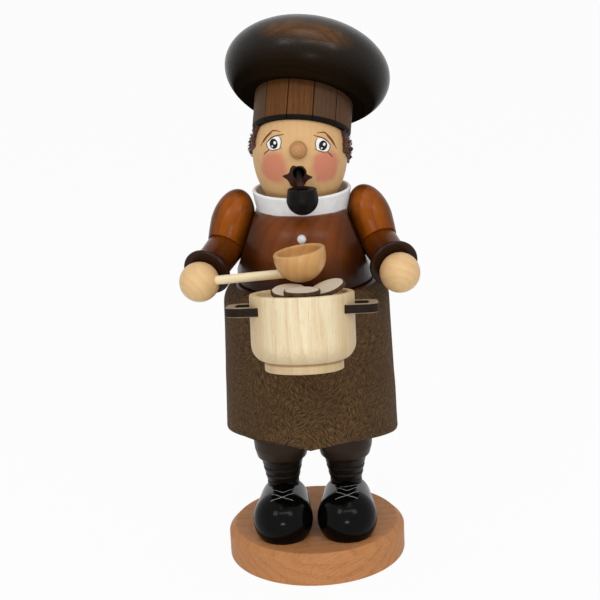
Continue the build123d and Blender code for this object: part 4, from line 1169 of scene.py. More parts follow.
    def branch_slice(self, name: str, seat: Seat, seed: int) -> None:
        """Slice of a thin branch with its own bark."""
        steps = 72
        half = self.slice_thickness / 2
        rings = [(0.35, half), (0.7, half), (1 - self.bark / self.slice_radius, half), (0.985, half - 0.1),
                 (1.0, half - 0.3), (1.0, 0.3 - half), (0.985, 0.1 - half), (0.7, -half), (0.35, -half)]
        bark_rows = range(2, 6)
        spots = [Vector((0, 0, half))]
        for share, height in rings:
            for step in range(steps):
                angle = 2 * math.pi * step / steps
                way = Vector((math.cos(angle), math.sin(angle), 0))
                wobble = 0.03 * noise.noise(way * 1.6 + Vector((seed * 7.0, 0, 0)))
                rough = 0.012 * noise.noise(way * 9 + Vector((seed * 5.0, 0, height))) if share > 0.9 else 0.0
                radius = self.slice_radius * share * (0.975 + wobble + rough)
                spots.append(way * radius + Vector((0, 0, height)))
        spots.append(Vector((0, 0, -half)))
        bands = len(rings) - 1
        indices = [0] * steps
        for row in range(bands):
            indices += [1 if row in bark_rows else 0] * steps
        indices += [0] * steps
        faces = domed_faces(bands, steps)
        mesh = self.bench.mesh("slice_cut_" + name, spots, faces, self.slice_face(name, seat))
        mesh.materials.append(self.slice_bark(name, seat))
        mesh.polygons.foreach_set("material_index", indices)
        piece = self.bench.piece("slice_cut_" + name, mesh, seat)
        self.bench.fit(piece, Body.LOWER, "slice_wood", "slice_" + name)

    def slice_face(self, name: str, seat: Seat) -> Material:
        """Pale sawn face with faint rings and saw marks."""
        finish = WoodFinish(paint(222, 210, 190), paint(178, 160, 134), ring_width=1.3, wander=1.4,
                            pith=(0.6, 0.4),
                            ring_depth=0.4, fibre=0.5, pores=0.1, roughness=0.75, specular=0.2)
        return finish.material(self.bench.palette, "slice_face_" + name, seat)

    def slice_bark(self, name: str, seat: Seat) -> Material:
        """Thin grey-brown bark."""
        finish = PaintFinish(paint(96, 68, 46), paint(48, 32, 22), roughness=0.85, specular=0.2, relief=0.15)
        return finish.material(self.bench.palette, "slice_bark_" + name, seat)


@dataclass
class Torso:
    """Hollow jacket with its button, collar and neck."""

    bench: Bench
    radius: float = 25.9
    straight: float = 11.5
    neck_radius: float = 17.0
    crown: float = 4.4
    chamber: float = 15.5
    socket: float = 18.08
    socket_depth: float = 7.4
    bore: float = 3.2
    button_radius: float = 1.65
    collar_low: float = 17.0
    collar_top: float = 18.7
    collar_height: float = 8.6
    collar_wall: float = 1.4
    collar_lean: float = 2.0
    collar_sink: float = 1.2

    def __post_init__(self) -> None:
        """Takes the jacket's heights from the frame."""
        self.low = height_of("jacket", top=False)
        self.neck = height_of("jacket")

    def build(self, flats: list[tuple[Vector, Vector]]) -> None:
        """Builds the jacket with its arm flats, the button and the collar.

        Args:
            flats: A point and the outward normal of each arm's flat.
        """
        self.jacket(flats)
        self.button()
        self.collar()
        for node in ("neck_tube", "shoulder_dowels"):
            self.bench.dress(node, DOWEL.material(self.bench.palette, node + "_wood", Seat()))

    def jacket(self, flats: list[tuple[Vector, Vector]]) -> None:
        """Turned torso, hollow inside."""
        tall = self.neck - self.low
        seat = Seat((0, 0, self.low))
        round_height = tall - self.straight
        outline = Outline(closed=True).to(self.socket, 0, 0.2).to(self.radius, 0, 0.6)
        outline.arc((self.neck_radius, self.straight), (self.radius - self.neck_radius, round_height),
                    0, 90, 40)
        outline.to(self.bore, tall).to(self.bore, tall - self.crown, 0.3)
        outline.to(self.chamber, tall - self.crown, 0.8).to(self.chamber, self.socket_depth, 0.2)
        outline.to(self.socket, self.socket_depth, 0.2)
        # Painted shade: the jacket darkens towards its sides and its bottom (partly airbrushed stain), and
        # the white paint on the crown inside the collar is a greyer white for the shade it sits in; the
        # raw-wood colour inside the chamber is the wood's own.
        wood = RED_STAIN.material(self.bench.palette, "jacket_wood", seat, (
            Shade(Along.SIDEWAYS, 8.0, 21.0, SHADE_BROWN, 0.88),
            Shade(Along.Z, 15.0, 1.0, SHADE_BROWN, 0.85),
            Shade(Along.RADIUS, 17.4, 16.6, paint(96, 66, 36), 0.8),
            Shade(Along.RADIUS, 18.4, 16.4, paint(200, 200, 199), 1.0, tall - 2.0)))
        jacket = self.bench.turn("jacket_turned", outline, seat, wood, 144)
        for point, normal in flats:
            self.bench.cut(jacket, point, normal)
        self.bench.fit(jacket, Body.UPPER, "jacket_stain", "jacket")

    def button(self) -> None:
        """White half ball let into the jacket's front."""
        low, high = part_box("button")
        seat = Seat((0, high.y / MM, (low.z + high.z) / 2 / MM), (0, -1, 0))
        depth = (high.y - low.y) / MM
        outline = Outline().to(0, 0).to(self.button_radius, 0).arc(
            (0, depth - self.button_radius), (self.button_radius,) * 2, 0, 90, 16)
        white = WHITE_PAINT.material(self.bench.palette, "button_paint", seat)
        self.bench.fit(self.bench.turn("button_dome", outline, seat, white, 48), Body.UPPER,
                       "white_paint", "button")

    def collar(self) -> None:
        """White flared ring that leans forward."""
        lean = math.radians(self.collar_lean)
        seat = Seat((0, 0, self.neck - self.collar_sink), (0, -math.sin(lean), math.cos(lean)))
        outline = Outline(closed=True)
        outline.to(self.collar_low - self.collar_wall, 0, 0.2).to(self.collar_low, 0, 0.4)
        outline.to(self.collar_top, self.collar_height, 0.55)
        outline.to(self.collar_top - self.collar_wall, self.collar_height, 0.5)
        white = WHITE_PAINT.material(self.bench.palette, "collar_paint", seat)
        ring = self.bench.turn("collar_ring", outline, seat, white, 128)
        self.bench.fit(ring, Body.UPPER, "white_paint", "collar")


@dataclass
class Arms:
    """Egg sleeves, mitred forearms, flared cuffs and ball hands."""

    bench: Bench
    sideways: float = -0.6
    shoulder_out: float = 22.2
    shoulder_up: float = 7.4
    elbow_out: float = 28.8
    elbow_forward: float = 3.0
    elbow_down: float = 13.7
    sleeve_radius: float = 8.2
    full_at: float = 13.5
    elbow_radius: float = 7.0
    lower_radius: float = 7.6
    lower_back: float = 2.7
    tail_radius: float = 6.0
    flat_depth: float = 6.9
    flat_angle: float = 20.0
    cuff_radius: float = 9.2
    cuff_length: float = 4.4
    cuff_flare: float = 3.1
    cuff_back: float = 7.2
    wrist: float = 6.6
    hand_radius: float = 7.4
    hand_in_cuff: float = 1.4

    def __post_init__(self) -> None:
        """Takes the joints of each arm from the frame."""
        self.neck = height_of("jacket")

    def shoulder(self, sign: int) -> Vector:
        """Top end of a sleeve's axis."""
        return Vector((self.sideways + sign * self.shoulder_out, 0, self.neck + self.shoulder_up))

    def elbow(self, sign: int) -> Vector:
        """Lower end of a sleeve's axis."""
        out = self.sideways + sign * self.elbow_out
        return Vector((out, -self.elbow_forward, self.neck - self.elbow_down))

    @staticmethod
    def hand_centre(side: str) -> Vector:
        """Centre of a hand, from the frame."""
        low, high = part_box("hand_" + side)
        return (low + high) / 2 / MM

    def flat(self, sign: int) -> tuple[Vector, Vector]:
        """Point and outward normal of the flat between a sleeve and the jacket."""
        turn = math.radians(self.flat_angle)
        normal = Vector((sign * math.cos(turn), 0, math.sin(turn)))
        way = (self.elbow(sign) - self.shoulder(sign)).normalized()
        return self.shoulder(sign) + way * self.full_at - normal * self.flat_depth, normal

    def build(self) -> None:
        """Builds both arms."""
        for side, sign in (("left", -1), ("right", 1)):
            sleeve_way = (self.elbow(sign) - self.shoulder(sign)).normalized()
            reach = self.hand_centre(side) - self.elbow(sign)
            mitre = (sleeve_way + reach.normalized()).normalized()
            self.sleeve(side, sign, sleeve_way, mitre)
            arm_seat = Seat(tuple(self.elbow(sign)), tuple(reach))
            cuff_start = reach.length - self.hand_radius + self.hand_in_cuff - self.cuff_length
            self.forearm(side, sign, arm_seat, cuff_start, mitre)
            self.cuff(side, arm_seat, cuff_start, reach.length)
            self.hand(side, reach)
        self.bench.dress("wrist_dowels", DOWEL.material(self.bench.palette, "wrist_dowel_wood", Seat()))

    def sleeve(self, side: str, sign: int, way: Vector, mitre: Vector) -> None:
        """Egg-shaped upper arm, cut for the jacket's flat and the elbow's mitre."""
        seat = Seat(tuple(self.shoulder(sign)), tuple(way))
        length = (self.elbow(sign) - self.shoulder(sign)).length
        outline = Outline().arc((0, self.full_at), (self.sleeve_radius, self.full_at), -90, 0, 32)
        end = length + self.elbow_radius
        for radius, height in smooth_line([(self.sleeve_radius, self.full_at),
                                           (self.lower_radius, length - self.lower_back),
                                           (self.tail_radius, end)], 12)[1:]:
            outline.to(radius, height)
        outline.to(0, end)
        # Painted shade, partly airbrushed stain: the sleeve darkens on its inner side towards the jacket, on
        # its outer side and at the shoulder end.
        wood = AMBER_STAIN.material(self.bench.palette, "sleeve_wood_" + side, seat, (
            Shade(Along.X, -1.0 * sign, -7.5 * sign, SHADE_BROWN, 0.85),
            Shade(Along.X, 3.0 * sign, 8.5 * sign, SHADE_BROWN, 0.7),
            Shade(Along.Z, 5.0, 0.0, SHADE_BROWN, 0.75)))
        sleeve = self.bench.turn("sleeve_turned_" + side, outline, seat, wood, 112)
        self.bench.cut(sleeve, self.elbow(sign), mitre)
        point, normal = self.flat(sign)
        self.bench.cut(sleeve, point, -normal)
        self.bench.fit(sleeve, Body.UPPER, "jacket_stain", "sleeve_" + side)

    def forearm(self, side: str, sign: int, seat: Seat, end: float, mitre: Vector) -> None:
        """Short dark forearm from the mitre to the cuff."""
        outline = Outline().to(0, -2 * self.elbow_radius).to(self.elbow_radius, -2 * self.elbow_radius)
        outline.to(self.elbow_radius, 0).to(self.wrist, end).to(0, end)
        # Darker towards the cuff: partly a darker stain, partly painted shade.
        wood = AMBER_STAIN.material(self.bench.palette, "forearm_wood_" + side, seat, (
            Shade(Along.Z, -14.0, end, paint(64, 28, 7), 0.85),))
        forearm = self.bench.turn("forearm_turned_" + side, outline, seat, wood)
        self.bench.cut(forearm, self.elbow(sign), -mitre)
        point, normal = self.flat(sign)
        self.bench.cut(forearm, point, -normal)
        self.bench.fit(forearm, Body.UPPER, "cuff_stain", "forearm_" + side)

    def cuff(self, side: str, seat: Seat, start: float, reach: float) -> None:
        """Flared cuff with a hollow that the hand sits in."""
        end = start + self.cuff_length
        outline = Outline().to(0, start).to(self.cuff_back, start, 0.4)
        outline.to(self.cuff_radius, start + self.cuff_flare, 0.8).to(self.cuff_radius, end, 0.7)
        seat_radius = self.hand_radius + 0.05
        edge = math.degrees(math.asin((end - reach) / seat_radius))
        outline.arc((0, reach), (seat_radius,) * 2, edge, -90, 16)
        wood = DARK_STAIN.material(self.bench.palette, "cuff_wood_" + side, seat)
        self.bench.fit(self.bench.turn("cuff_turned_" + side, outline, seat, wood, 112), Body.UPPER,
                       "cuff_stain",
                       "cuff_" + side)

    def hand(self, side: str, reach: Vector) -> None:
        """Ball hand whose grain runs along the arm."""
        seat = Seat(tuple(self.hand_centre(side)), tuple(reach))
        outline = Outline().arc((0, 0), (self.hand_radius,) * 2, -90, 90, 56)
        wood = MAPLE.material(self.bench.palette, "hand_wood_" + side, seat)
        self.bench.fit(self.bench.turn("hand_ball_" + side, outline, seat, wood, 112), Body.UPPER,
                       "hand_wood",
                       "hand_" + side)


@dataclass
class Ladle:
    """Dowel stem and turned bowl."""

    bench: Bench
    stem_radius: float = 1.65
    stem_in_hand: float = 5.0
    radius: float = 9.3
    depth: float = 11.5
    wall: float = 1.8
    lean: float = 8.0
    side: float = -0.7
    forward: float = 38.5
    rim_above_hip: float = 20.5
    stem_below_rim: float = 8.0
    stem_in_bowl: float = 1.0

    def __post_init__(self) -> None:
        """Works out the bowl's seat and the stem's ends."""
        turn = math.radians(self.lean)
        up = Vector((-math.sin(turn), 0, math.cos(turn)))
        rim = Vector((self.side, -self.forward, height_of("jacket", top=False) + self.rim_above_hip))
        self.seat = Seat(tuple(rim), tuple(up))
        self.aim = rim - up * self.stem_below_rim
        self.ball = rim - up * (self.depth - self.radius)

    def build(self, hand: Vector, hand_radius: float) -> None:
        """Builds the bowl and the stem that the hand holds."""
        self.bowl()
        way = (self.aim - hand).normalized()
        offset = self.aim - self.ball
        along = offset.dot(way)
        reach = along + math.sqrt(along ** 2 + self.radius ** 2 - offset.length_squared)
        start = hand + way * (hand_radius - self.stem_in_hand)
        end = self.aim - way * (reach - self.stem_in_bowl)
        seat = Seat(tuple(start), tuple(way), (0, 0, 1))
        length = (end - start).length
        outline = Outline().to(0, 0).to(self.stem_radius, 0, 0.2)
        outline.to(self.stem_radius, length, 0.2).to(0, length)
        wood = DOWEL.material(self.bench.palette, "ladle_stem_wood", seat)
        self.bench.fit(self.bench.turn("ladle_stem_dowel", outline, seat, wood, 48), Body.UPPER, "ladle_stem",
                       "ladle_stem")

    def bowl(self) -> None:
        """Turned half ball with a short straight wall."""
        ball_z = self.radius - self.depth
        inner = self.radius - self.wall
        outline = Outline().arc((0, ball_z), (self.radius,) * 2, -90, 0)
        outline.to(self.radius, 0, 0.55).to(inner, 0, 0.55)
        outline.arc((0, ball_z), (inner,) * 2, 0, -90)
        grain = Seat(self.seat.origin, (0.35, 0.2, 1.0))
        wood = CHERRY.material(self.bench.palette, "ladle_bowl_wood", grain)
        self.bench.fit(self.bench.turn("ladle_bowl_turned", outline, self.seat, wood, 112), Body.UPPER,
                       "ladle_bowl",
                       "ladle_bowl")


@dataclass(frozen=True)
class HeadForm:
    """Turned head: a ball that goes over into a fuller chin, with a flat below it."""

    radius: float = 17.75
    chin_radius: float = 30.0
    depth: float = 20.4

    def across(self, height: float) -> float:
        """Radius of the turning at a height from the ball's middle."""
        if height >= 0:
            return math.sqrt(self.radius ** 2 - height ** 2)
        return self.radius - self.chin_radius + math.sqrt(self.chin_radius ** 2 - height ** 2)

    def reach(self, way: Vector) -> float:
        """Distance from the ball's middle to the surface along a direction."""
        way = way.normalized()
        if way.z >= 0:
            return self.radius
        inward = self.chin_radius - self.radius
        along = -inward * math.hypot(way.x, way.y)
        chin = along + math.sqrt(along ** 2 - inward ** 2 + self.chin_radius ** 2)
        return min(chin, -self.depth / way.z)


@dataclass
class Face:
    """Painted face on the front of the head ball, drawn in millimetres across and up from its middle."""

    bench: Bench
    centre: Vector
    form: HeadForm
    roll: float = 4.0
    shift: float = -0.35
    sink: float = 0.06
    lip_hole: float = 2.35

    def spot(self, across: float, up: float, lift: float) -> Vector:
        """Point on the ball, lifted off it or sunk into it."""
        turn = math.radians(self.roll)
        x = across * math.cos(turn) + up * math.sin(turn) + self.shift
        z = up * math.cos(turn) - across * math.sin(turn)
        way = Vector((x, -math.sqrt(self.form.across(z) ** 2 - x ** 2), z))
        return self.centre + way + way.normalized() * lift

    def patch(self, outline: list[Flat], lift: float) -> Film:
        """Closed film of paint inside an outline.

        Args:
            outline: Points round the patch.
            lift: Thickness of the film above the ball.

        Returns:
            The film's points and faces.
        """
        rings = 5
        count = len(outline)
        middle = Vector((sum(p[0] for p in outline) / count, sum(p[1] for p in outline) / count))
        spots = [self.spot(*middle, lift)]
        for ring in range(1, rings + 1):
            share = ring / rings
            for edge in outline:
                raised = lift if ring < rings else lift * 0.6
                spots.append(self.spot(*middle.lerp(Vector(edge), share), raised))
        for edge in outline:
            spots.append(self.spot(*middle.lerp(Vector(edge), 1.03), -self.sink))
        spots.append(self.spot(*middle, -self.sink))
        return spots, domed_faces(rings, count)

    def stroke(self, line: list[Flat], widths: Flat, lift: float) -> Film:
        """Closed film of paint along a brush line that tapers to its ends.

        Args:
            line: Points of the brush line.
            widths: Full width at the middle and at the ends.
            lift: Thickness of the film above the ball.

        Returns:
            The film's points and faces.
        """
        path = [Vector(p) for p in smooth_line(line, 8)]
        spots = []
        faces = []
        for index, here in enumerate(path):
            way = path[min(index + 1, len(path) - 1)] - path[max(index - 1, 0)]
            across = Vector((-way.y, way.x)).normalized()
            swell = math.sin(math.pi * index / (len(path) - 1)) ** 0.7
            half = (widths[1] + (widths[0] - widths[1]) * swell) / 2
            for share, rise in ((-1.0, -self.sink), (-0.7, lift), (0.7, lift), (1.0, -self.sink)):
                spots.append(self.spot(*(here + across * half * share), rise))
        for index in range(len(path) - 1):
            a = index * 4
            for k in range(4):
                n = (k + 1) % 4
                faces.append((a + k, a + n, a + 4 + n, a + 4 + k))
        end = (len(path) - 1) * 4
        faces += [(3, 2, 1, 0), (end, end + 1, end + 2, end + 3)]
        return spots, faces

    def join(self, name: str, films: list[Film], finish: PaintFinish,
             slot: str) -> None:
        """Joins films of one colour into one piece of paint."""
        spots, faces = [], []
        for film_spots, film_faces in films:
            start = len(spots)
            spots += film_spots
            faces += [tuple(start + k for k in face) for face in film_faces]
        material = finish.material(self.bench.palette, name + "_colour")
        mesh = self.bench.mesh(name, spots, faces, material)
        self.bench.fit(self.bench.piece(name, mesh), Body.UPPER, slot)

    def build(self) -> None:
        """Paints the eyes, brows and lips, mirrored across the face's middle."""
        both = (-1, 1)

        def sided(line: list[Flat], sign: int) -> list[Flat]:
            """Line on one side of the face."""
            return [(sign * across, up) for across, up in line]

        def oval(middle: Flat, half: Flat, count: int = 40) -> list[Flat]:
            """Points round an upright oval."""
            return [(middle[0] + half[0] * math.cos(2 * math.pi * k / count),
                     middle[1] + half[1] * math.sin(2 * math.pi * k / count)) for k in range(count)]

        white = [(6.4, 5.6), (6.75, 7.4), (8.4, 7.6), (10.2, 6.5), (11.45, 5.0), (10.9, 3.3), (9.2, 2.9),
                 (6.9, 3.7)]
        self.join("eye_whites", [self.patch(smooth_line(sided(white, k), 8, True), 0.05) for k in both],
                  EYE_WHITE,
                  "white_paint")
        self.join("eye_pupils", [self.patch(oval((k * 8.95, 5.1), (1.5, 1.75)), 0.09) for k in both],
                  EYE_BLACK,
                  "pipe_black")
        glints = [self.patch(oval((k * 8.95 + 0.4, 5.5), (0.52, 0.58), 24), 0.13) for k in both]
        glints += [self.patch(oval((k * 8.95 - 0.45, 4.2), (0.3, 0.34), 20), 0.13) for k in both]
        self.join("eye_glints", glints, EYE_WHITE, "white_paint")
        lines = {
            "lid": ([(11.6, 5.0), (10.2, 6.75), (8.4, 7.85), (5.4, 8.7)], (0.42, 0.16)),
            "inner": ([(6.85, 7.8), (6.25, 6.4), (6.35, 5.0), (6.7, 3.9)], (0.3, 0.12)),
            "lower": ([(5.9, 4.1), (7.6, 3.3), (9.3, 2.8), (10.8, 2.9)], (0.34, 0.12)),
            "outer": ([(11.6, 5.0), (11.4, 4.0), (10.7, 2.8)], (0.3, 0.16)),
            "lash": ([(10.6, 2.7), (11.6, 1.9), (12.5, 0.8)], (0.36, 0.1)),
        }
        self.join("eye_lines", [self.stroke(sided(line, k), widths, 0.11)
                                for line, widths in lines.values() for k in both], EYE_LINE, "pipe_black")
        brows = [([(6.6, 9.4), (8.2, 9.6), (9.8, 9.2), (12.3, 6.5), (13.9, 3.4)], (0.5, 0.14)),
                 ([(9.9, 8.6), (11.6, 6.9), (12.9, 4.9)], (0.3, 0.1))]
        self.join("brow_strokes", [self.stroke(sided(line, k), widths, 0.07)
                                   for line, widths in brows for k in both], BROW_PAINT, "stem_wood")
        self.lips()

    def lips(self) -> None:
        """Dark lips with a bow above and points at the sides, round the mouth's bore."""
        half = [(0.0, -2.45), (0.9, -2.1), (1.9, -2.1), (2.75, -3.2), (3.3, -5.0), (5.7, -6.35), (4.1, -7.5),
                (3.2, -8.6), (2.2, -10.3), (0.0, -10.7)]
        outline = half + [(-across, up) for across, up in reversed(half[1:-1])]
        smooth = smooth_line(outline, 6, True)
        mouth = Vector((self.mouth_across, self.mouth_up))
        spots = []
        count = len(smooth)
        rings = 6
        for ring in range(rings + 1):
            for edge in smooth:
                way = Vector(edge) - mouth
                inner = mouth + way.normalized() * self.lip_hole
                place = inner.lerp(Vector(edge), ring / rings)
                lift = -self.sink if ring == rings else 0.1
                spots.append(self.spot(*place, lift))
        for edge in smooth:
            way = Vector(edge) - mouth
            spots.append(self.spot(*(mouth + way.normalized() * self.lip_hole), -self.sink))
        tail = (rings + 1) * count
        faces = ring_faces(rings + 1, count)
        faces += [(tail + k, k, (k + 1) % count, tail + (k + 1) % count) for k in range(count)]
        self.join("lip_paint", [(spots, faces)], LIP_PAINT, "stem_wood")

    @property
    def mouth_across(self) -> float:
        """Distance of the mouth's bore across the face."""
        return 0.35

    mouth_up: float = -4.75


@dataclass
class Head:
    """Ball head with its nose, painted face, fleece hair and pipe."""

    bench: Bench
    hat_axis: Vector
    form: HeadForm = HeadForm()
    above_jacket: float = 20.7
    mouth_angle: float = -15.5
    mouth_radius: float = 2.3
    bore_depth: float = 9.0
    skin_depth: float = 0.05
    nose_radius: float = 3.3
    nose_angle: float = 11.6
    nose_out: float = 0.35
    hair_low: float = -1.4
    hair_high: float = 7.0
    hair_opening: float = 130.0
    hair_thickness: float = 1.2
    tufts: int = 2400
    pipe_radius: float = 5.75
    pipe_rim: float = 5.2
    pipe_height: float = 9.6
    pipe_bore: float = 2.4
    pipe_bore_depth: float = 4.5
    stem_radius: float = 1.3

    def __post_init__(self) -> None:
        """Takes the head's centre from the frame."""
        self.centre = Vector((0, 0, height_of("jacket") + self.above_jacket))

    def facing(self, angle: float) -> Vector:
        """Direction to the front of the face, raised by an angle in degrees."""
        turn = math.radians(angle)
        return Vector((0, -math.cos(turn), math.sin(turn)))

    def build(self) -> None:
        """Builds the ball, then what is on it."""
        self.ball()
        self.nose()
        Face(self.bench, self.centre, self.form).build()
        self.hair()
        self.pipe()

    def ball(self) -> None:
        """Ball turned about the mouth's axis, for a clean bore, then filled out at the chin."""
        seat = Seat(tuple(self.centre), tuple(self.facing(self.mouth_angle)))
        rim = math.degrees(math.acos(self.mouth_radius / self.form.radius))
        outline = Outline().to(0, self.bore_depth).to(self.mouth_radius, self.bore_depth)
        outline.arc((0, 0), (self.form.radius,) * 2, rim, -90, 90)
        ball = self.bench.turn("head_ball", outline, seat, self.skin(), 160)
        for vertex in ball.data.vertices:
            way = vertex.co / MM - self.centre
            if way.length > self.form.radius - self.skin_depth:
                vertex.co = (self.centre + way.normalized() * self.form.reach(way)) * MM
        self.bench.fit(ball, Body.UPPER, "face_wood", "head")

    def skin(self) -> Material:
        """Natural wood with sprayed cheeks, and the mouth's bore blackened with soot and painted shade."""
        name = "face_wood_blushed"
        palette = self.bench.palette
        s, shader, place = palette.start(name, Seat(tuple(self.centre)))
        grain = s.group(palette.effects.grain, Vector=s.vector("ADD", place, (*FACE_WOOD.pith, 0.0)),
                        Light=FACE_WOOD.light, Dark=FACE_WOOD.dark, Ring_Width=FACE_WOOD.ring_width,
                        Wander=FACE_WOOD.wander, Ring_Depth=FACE_WOOD.ring_depth, Fibre=FACE_WOOD.fibre,
                        Pores=FACE_WOOD.pores)
        colour = grain.outputs["Color"]
        for cheek in ((-9.6, -14.7, -2.9), (9.9, -14.4, -3.3)):
            near = s.vector("DISTANCE", place, cheek)
            colour = s.group(palette.effects.spray, Vector=place, Color=colour, Shade=BLUSH, Position=near,
                             Start=7.6, Full=4.4, Strength=0.75).outputs["Color"]
        # Black inside the mouth's bore: painted shade of the hole, with its soot.
        mouth = self.facing(self.mouth_angle)
        off_axis = s.vector("LENGTH", s.vector("CROSS_PRODUCT", place, tuple(mouth)), (0.0, 0.0, 0.0))
        ahead = s.span(s.vector("DOT_PRODUCT", place, tuple(mouth)), 4.0, 6.0)
        inside = s.math("MULTIPLY", s.span(off_axis, 2.75, 2.6), ahead)
        colour = s.mix(inside, colour, SOOT_AND_SHADE)
        wear = s.group(palette.effects.lacquer, Vector=place, Roughness=FACE_WOOD.roughness, Unevenness=0.1,
                       Scratches=0.0)
        s.fill(shader, Base_Color=colour, Roughness=wear.outputs["Roughness"],
               Specular_IOR_Level=FACE_WOOD.specular)
        palette.relief(s, shader, s.math("ADD", grain.outputs["Height"], wear.outputs["Height"]), 0.04)
        return bpy.data.materials[name]

    def nose(self) -> None:
        """Ball nose whose end grain faces forward."""
        way = self.facing(self.nose_angle)
        seat = Seat(tuple(self.centre + way * (self.form.radius + self.nose_out)), tuple(way))
        outline = Outline().arc((0, 0), (self.nose_radius,) * 2, -90, 90, 32)
        wood = NOSE_WOOD.material(self.bench.palette, "nose_wood", seat)
        self.bench.fit(self.bench.turn("nose_ball", outline, seat, wood, 64), Body.UPPER, "face_wood", "nose")

    def hair(self) -> None:
        """Fleece strip round the sides and back, made of small curled tufts."""
        seat = Seat(tuple(self.centre), tuple(self.hat_axis))
        rows, columns = 8, 90
        start = -90 + self.hair_opening / 2
        spots = []
        for lift in (0.05, self.hair_thickness):
            for row in range(rows + 1):
                height = self.hair_low + (self.hair_high - self.hair_low) * row / rows
                edge = 0.35 if lift > 0.1 and row in (0, rows) else 1.0
                for column in range(columns + 1):
                    angle = math.radians(start + (360 - self.hair_opening) * column / columns)
                    reach = math.sqrt(self.form.radius ** 2 - height ** 2)
                    way = seat.at(reach * math.cos(angle), reach * math.sin(angle), height) - self.centre
                    spots.append(self.centre + way.normalized() * (self.form.reach(way) + lift * edge))
        faces = sheet_faces(rows, columns, len(spots) // 2, 0)
        fleece = self.fleece()
        strip = self.bench.piece("hair_strip", self.bench.mesh("hair_strip", spots, faces, fleece))
        tufts = self.bench.grow(self.tuft_tree(), {
            "Strip": strip, "Tuft": self.tuft(fleece), "Count": self.tufts, "Seed": 5, "Material": fleece})
        bpy.data.objects.remove(bpy.data.objects["tuft"])
        curls = self.bench.piece("hair_curls", tufts)
        self.bench.fit(strip, Body.UPPER, "hair_fleece", "hair")
        self.bench.fit(curls, Body.UPPER, "hair_fleece")

    def tuft(self, material: Material) -> Object:
        """Small tapered curl that stands on its root."""
        sides, rings, length, thick = 5, 5, 1.15, 0.3
        spots, faces = [], []
        for ring in range(rings):
            share = ring / (rings - 1)
            middle = Vector((0.55 * math.sin(2.4 * share), 0.3 * math.sin(4.0 * share),
                             length * share - 0.25))
            for k in range(sides):
                angle = 2 * math.pi * k / sides
                half = thick * (1 - 0.8 * share)
                spots.append(middle + Vector((half * math.cos(angle), half * math.sin(angle), 0)))
        for ring in range(rings - 1):
            for k in range(sides):
                n = (k + 1) % sides
                a = ring * sides
                faces.append((a + k, a + n, a + sides + n, a + sides + k))
        faces += [tuple(reversed(range(sides))), tuple(range((rings - 1) * sides, rings * sides))]
        made = bpy.data.objects.new("tuft", self.bench.mesh("tuft", spots, faces, material))
        bpy.context.scene.collection.objects.link(made)
        return made

    def tuft_tree(self) -> Tree:
        """Tree that scatters curls over a strip, each leaning its own way."""
        s, given = self.bench.new_tree("fleece_curls", {
            "Strip": "Object", "Tuft": "Object", "Count": "Int", "Seed": "Int", "Material": "Material"})
        strip = s.put("GeometryNodeObjectInfo", Object=given.outputs["Strip"])
        curl = s.put("GeometryNodeObjectInfo", Object=given.outputs["Tuft"])
        scatter = s.put("GeometryNodeDistributePointsOnFaces", Mesh=strip.outputs["Geometry"])
        area = 2.6e-3
        s.fill(scatter, Density=s.math("DIVIDE", given.outputs["Count"], area), Seed=given.outputs["Seed"])
        lean = s.node("FunctionNodeRandomValue", data_type="FLOAT_VECTOR")
        lean.inputs[0].default_value = (-1.2, -1.2, -math.pi)
        lean.inputs[1].default_value = (1.2, 1.2, math.pi)
        s.feed(lean.inputs["Seed"], given.outputs["Seed"])
        turned = s.node("FunctionNodeRotateRotation", rotation_space="LOCAL")
        s.fill(turned, Rotation=scatter.outputs["Rotation"], Rotate_By=lean.outputs[0])
        size = s.node("FunctionNodeRandomValue", data_type="FLOAT")
        size.inputs[2].default_value = 0.55
        size.inputs[3].default_value = 1.15
        s.feed(size.inputs["Seed"], given.outputs["Seed"])
        placed = s.put("GeometryNodeInstanceOnPoints", Points=scatter.outputs["Points"],
                       Instance=curl.outputs["Geometry"], Rotation=turned.outputs["Rotation"],
                       Scale=size.outputs[1])
        return self.bench.end_tree(s, given, placed.outputs["Instances"])

    def fleece(self) -> Material:
        """Red-brown fleece."""
        s, shader, place = self.bench.palette.start("fleece", Seat(tuple(self.centre)))
        tone = s.span(s.noise(place, (1.4, 1.4, 1.4), 4.0), 0.35, 0.7)
        s.fill(shader, Base_Color=s.mix(tone, paint(54, 24, 12), paint(104, 54, 30)), Roughness=0.8,
               Specular_IOR_Level=0.2, Sheen_Weight=0.2)
        self.bench.palette.relief(s, shader, tone, 0.2)
        return bpy.data.materials["fleece"]

    def pipe(self) -> None:
        """Black bowl with a shallow bore, and its brown stem."""
        low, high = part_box("pipe_bowl")
        middle = (low + high) / 2 / MM
        seat = Seat((middle.x, middle.y, low.z / MM))
        outline = Outline().arc((0, self.pipe_radius), (self.pipe_radius,) * 2, -90, 0)
        outline.to(self.pipe_rim, self.pipe_height, 0.35).to(self.pipe_bore, self.pipe_height, 0.3)
        floor = self.pipe_height - self.pipe_bore_depth
        outline.to(self.pipe_bore, floor).to(0, floor)
        black = BLACK_SATIN.material(self.bench.palette, "pipe_bowl_black", seat)
        self.bench.fit(self.bench.turn("pipe_bowl_turned", outline, seat, black), Body.UPPER, "pipe_black",
                       "pipe_bowl")
        low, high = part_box("pipe_stem")
        # The stem's end inside the mouth is blackened: painted shade of the bore, with soot.
        self.bench.dress("pipe_stem", BROWN_STEM.material(
            self.bench.palette, "pipe_stem_wood", Seat(tuple((low + high) / 2 / MM), (0.06, -0.7, -0.7)), (
                Shade(Along.Z, 2.0, -2.0, SOOT_AND_SHADE, 0.95),)))


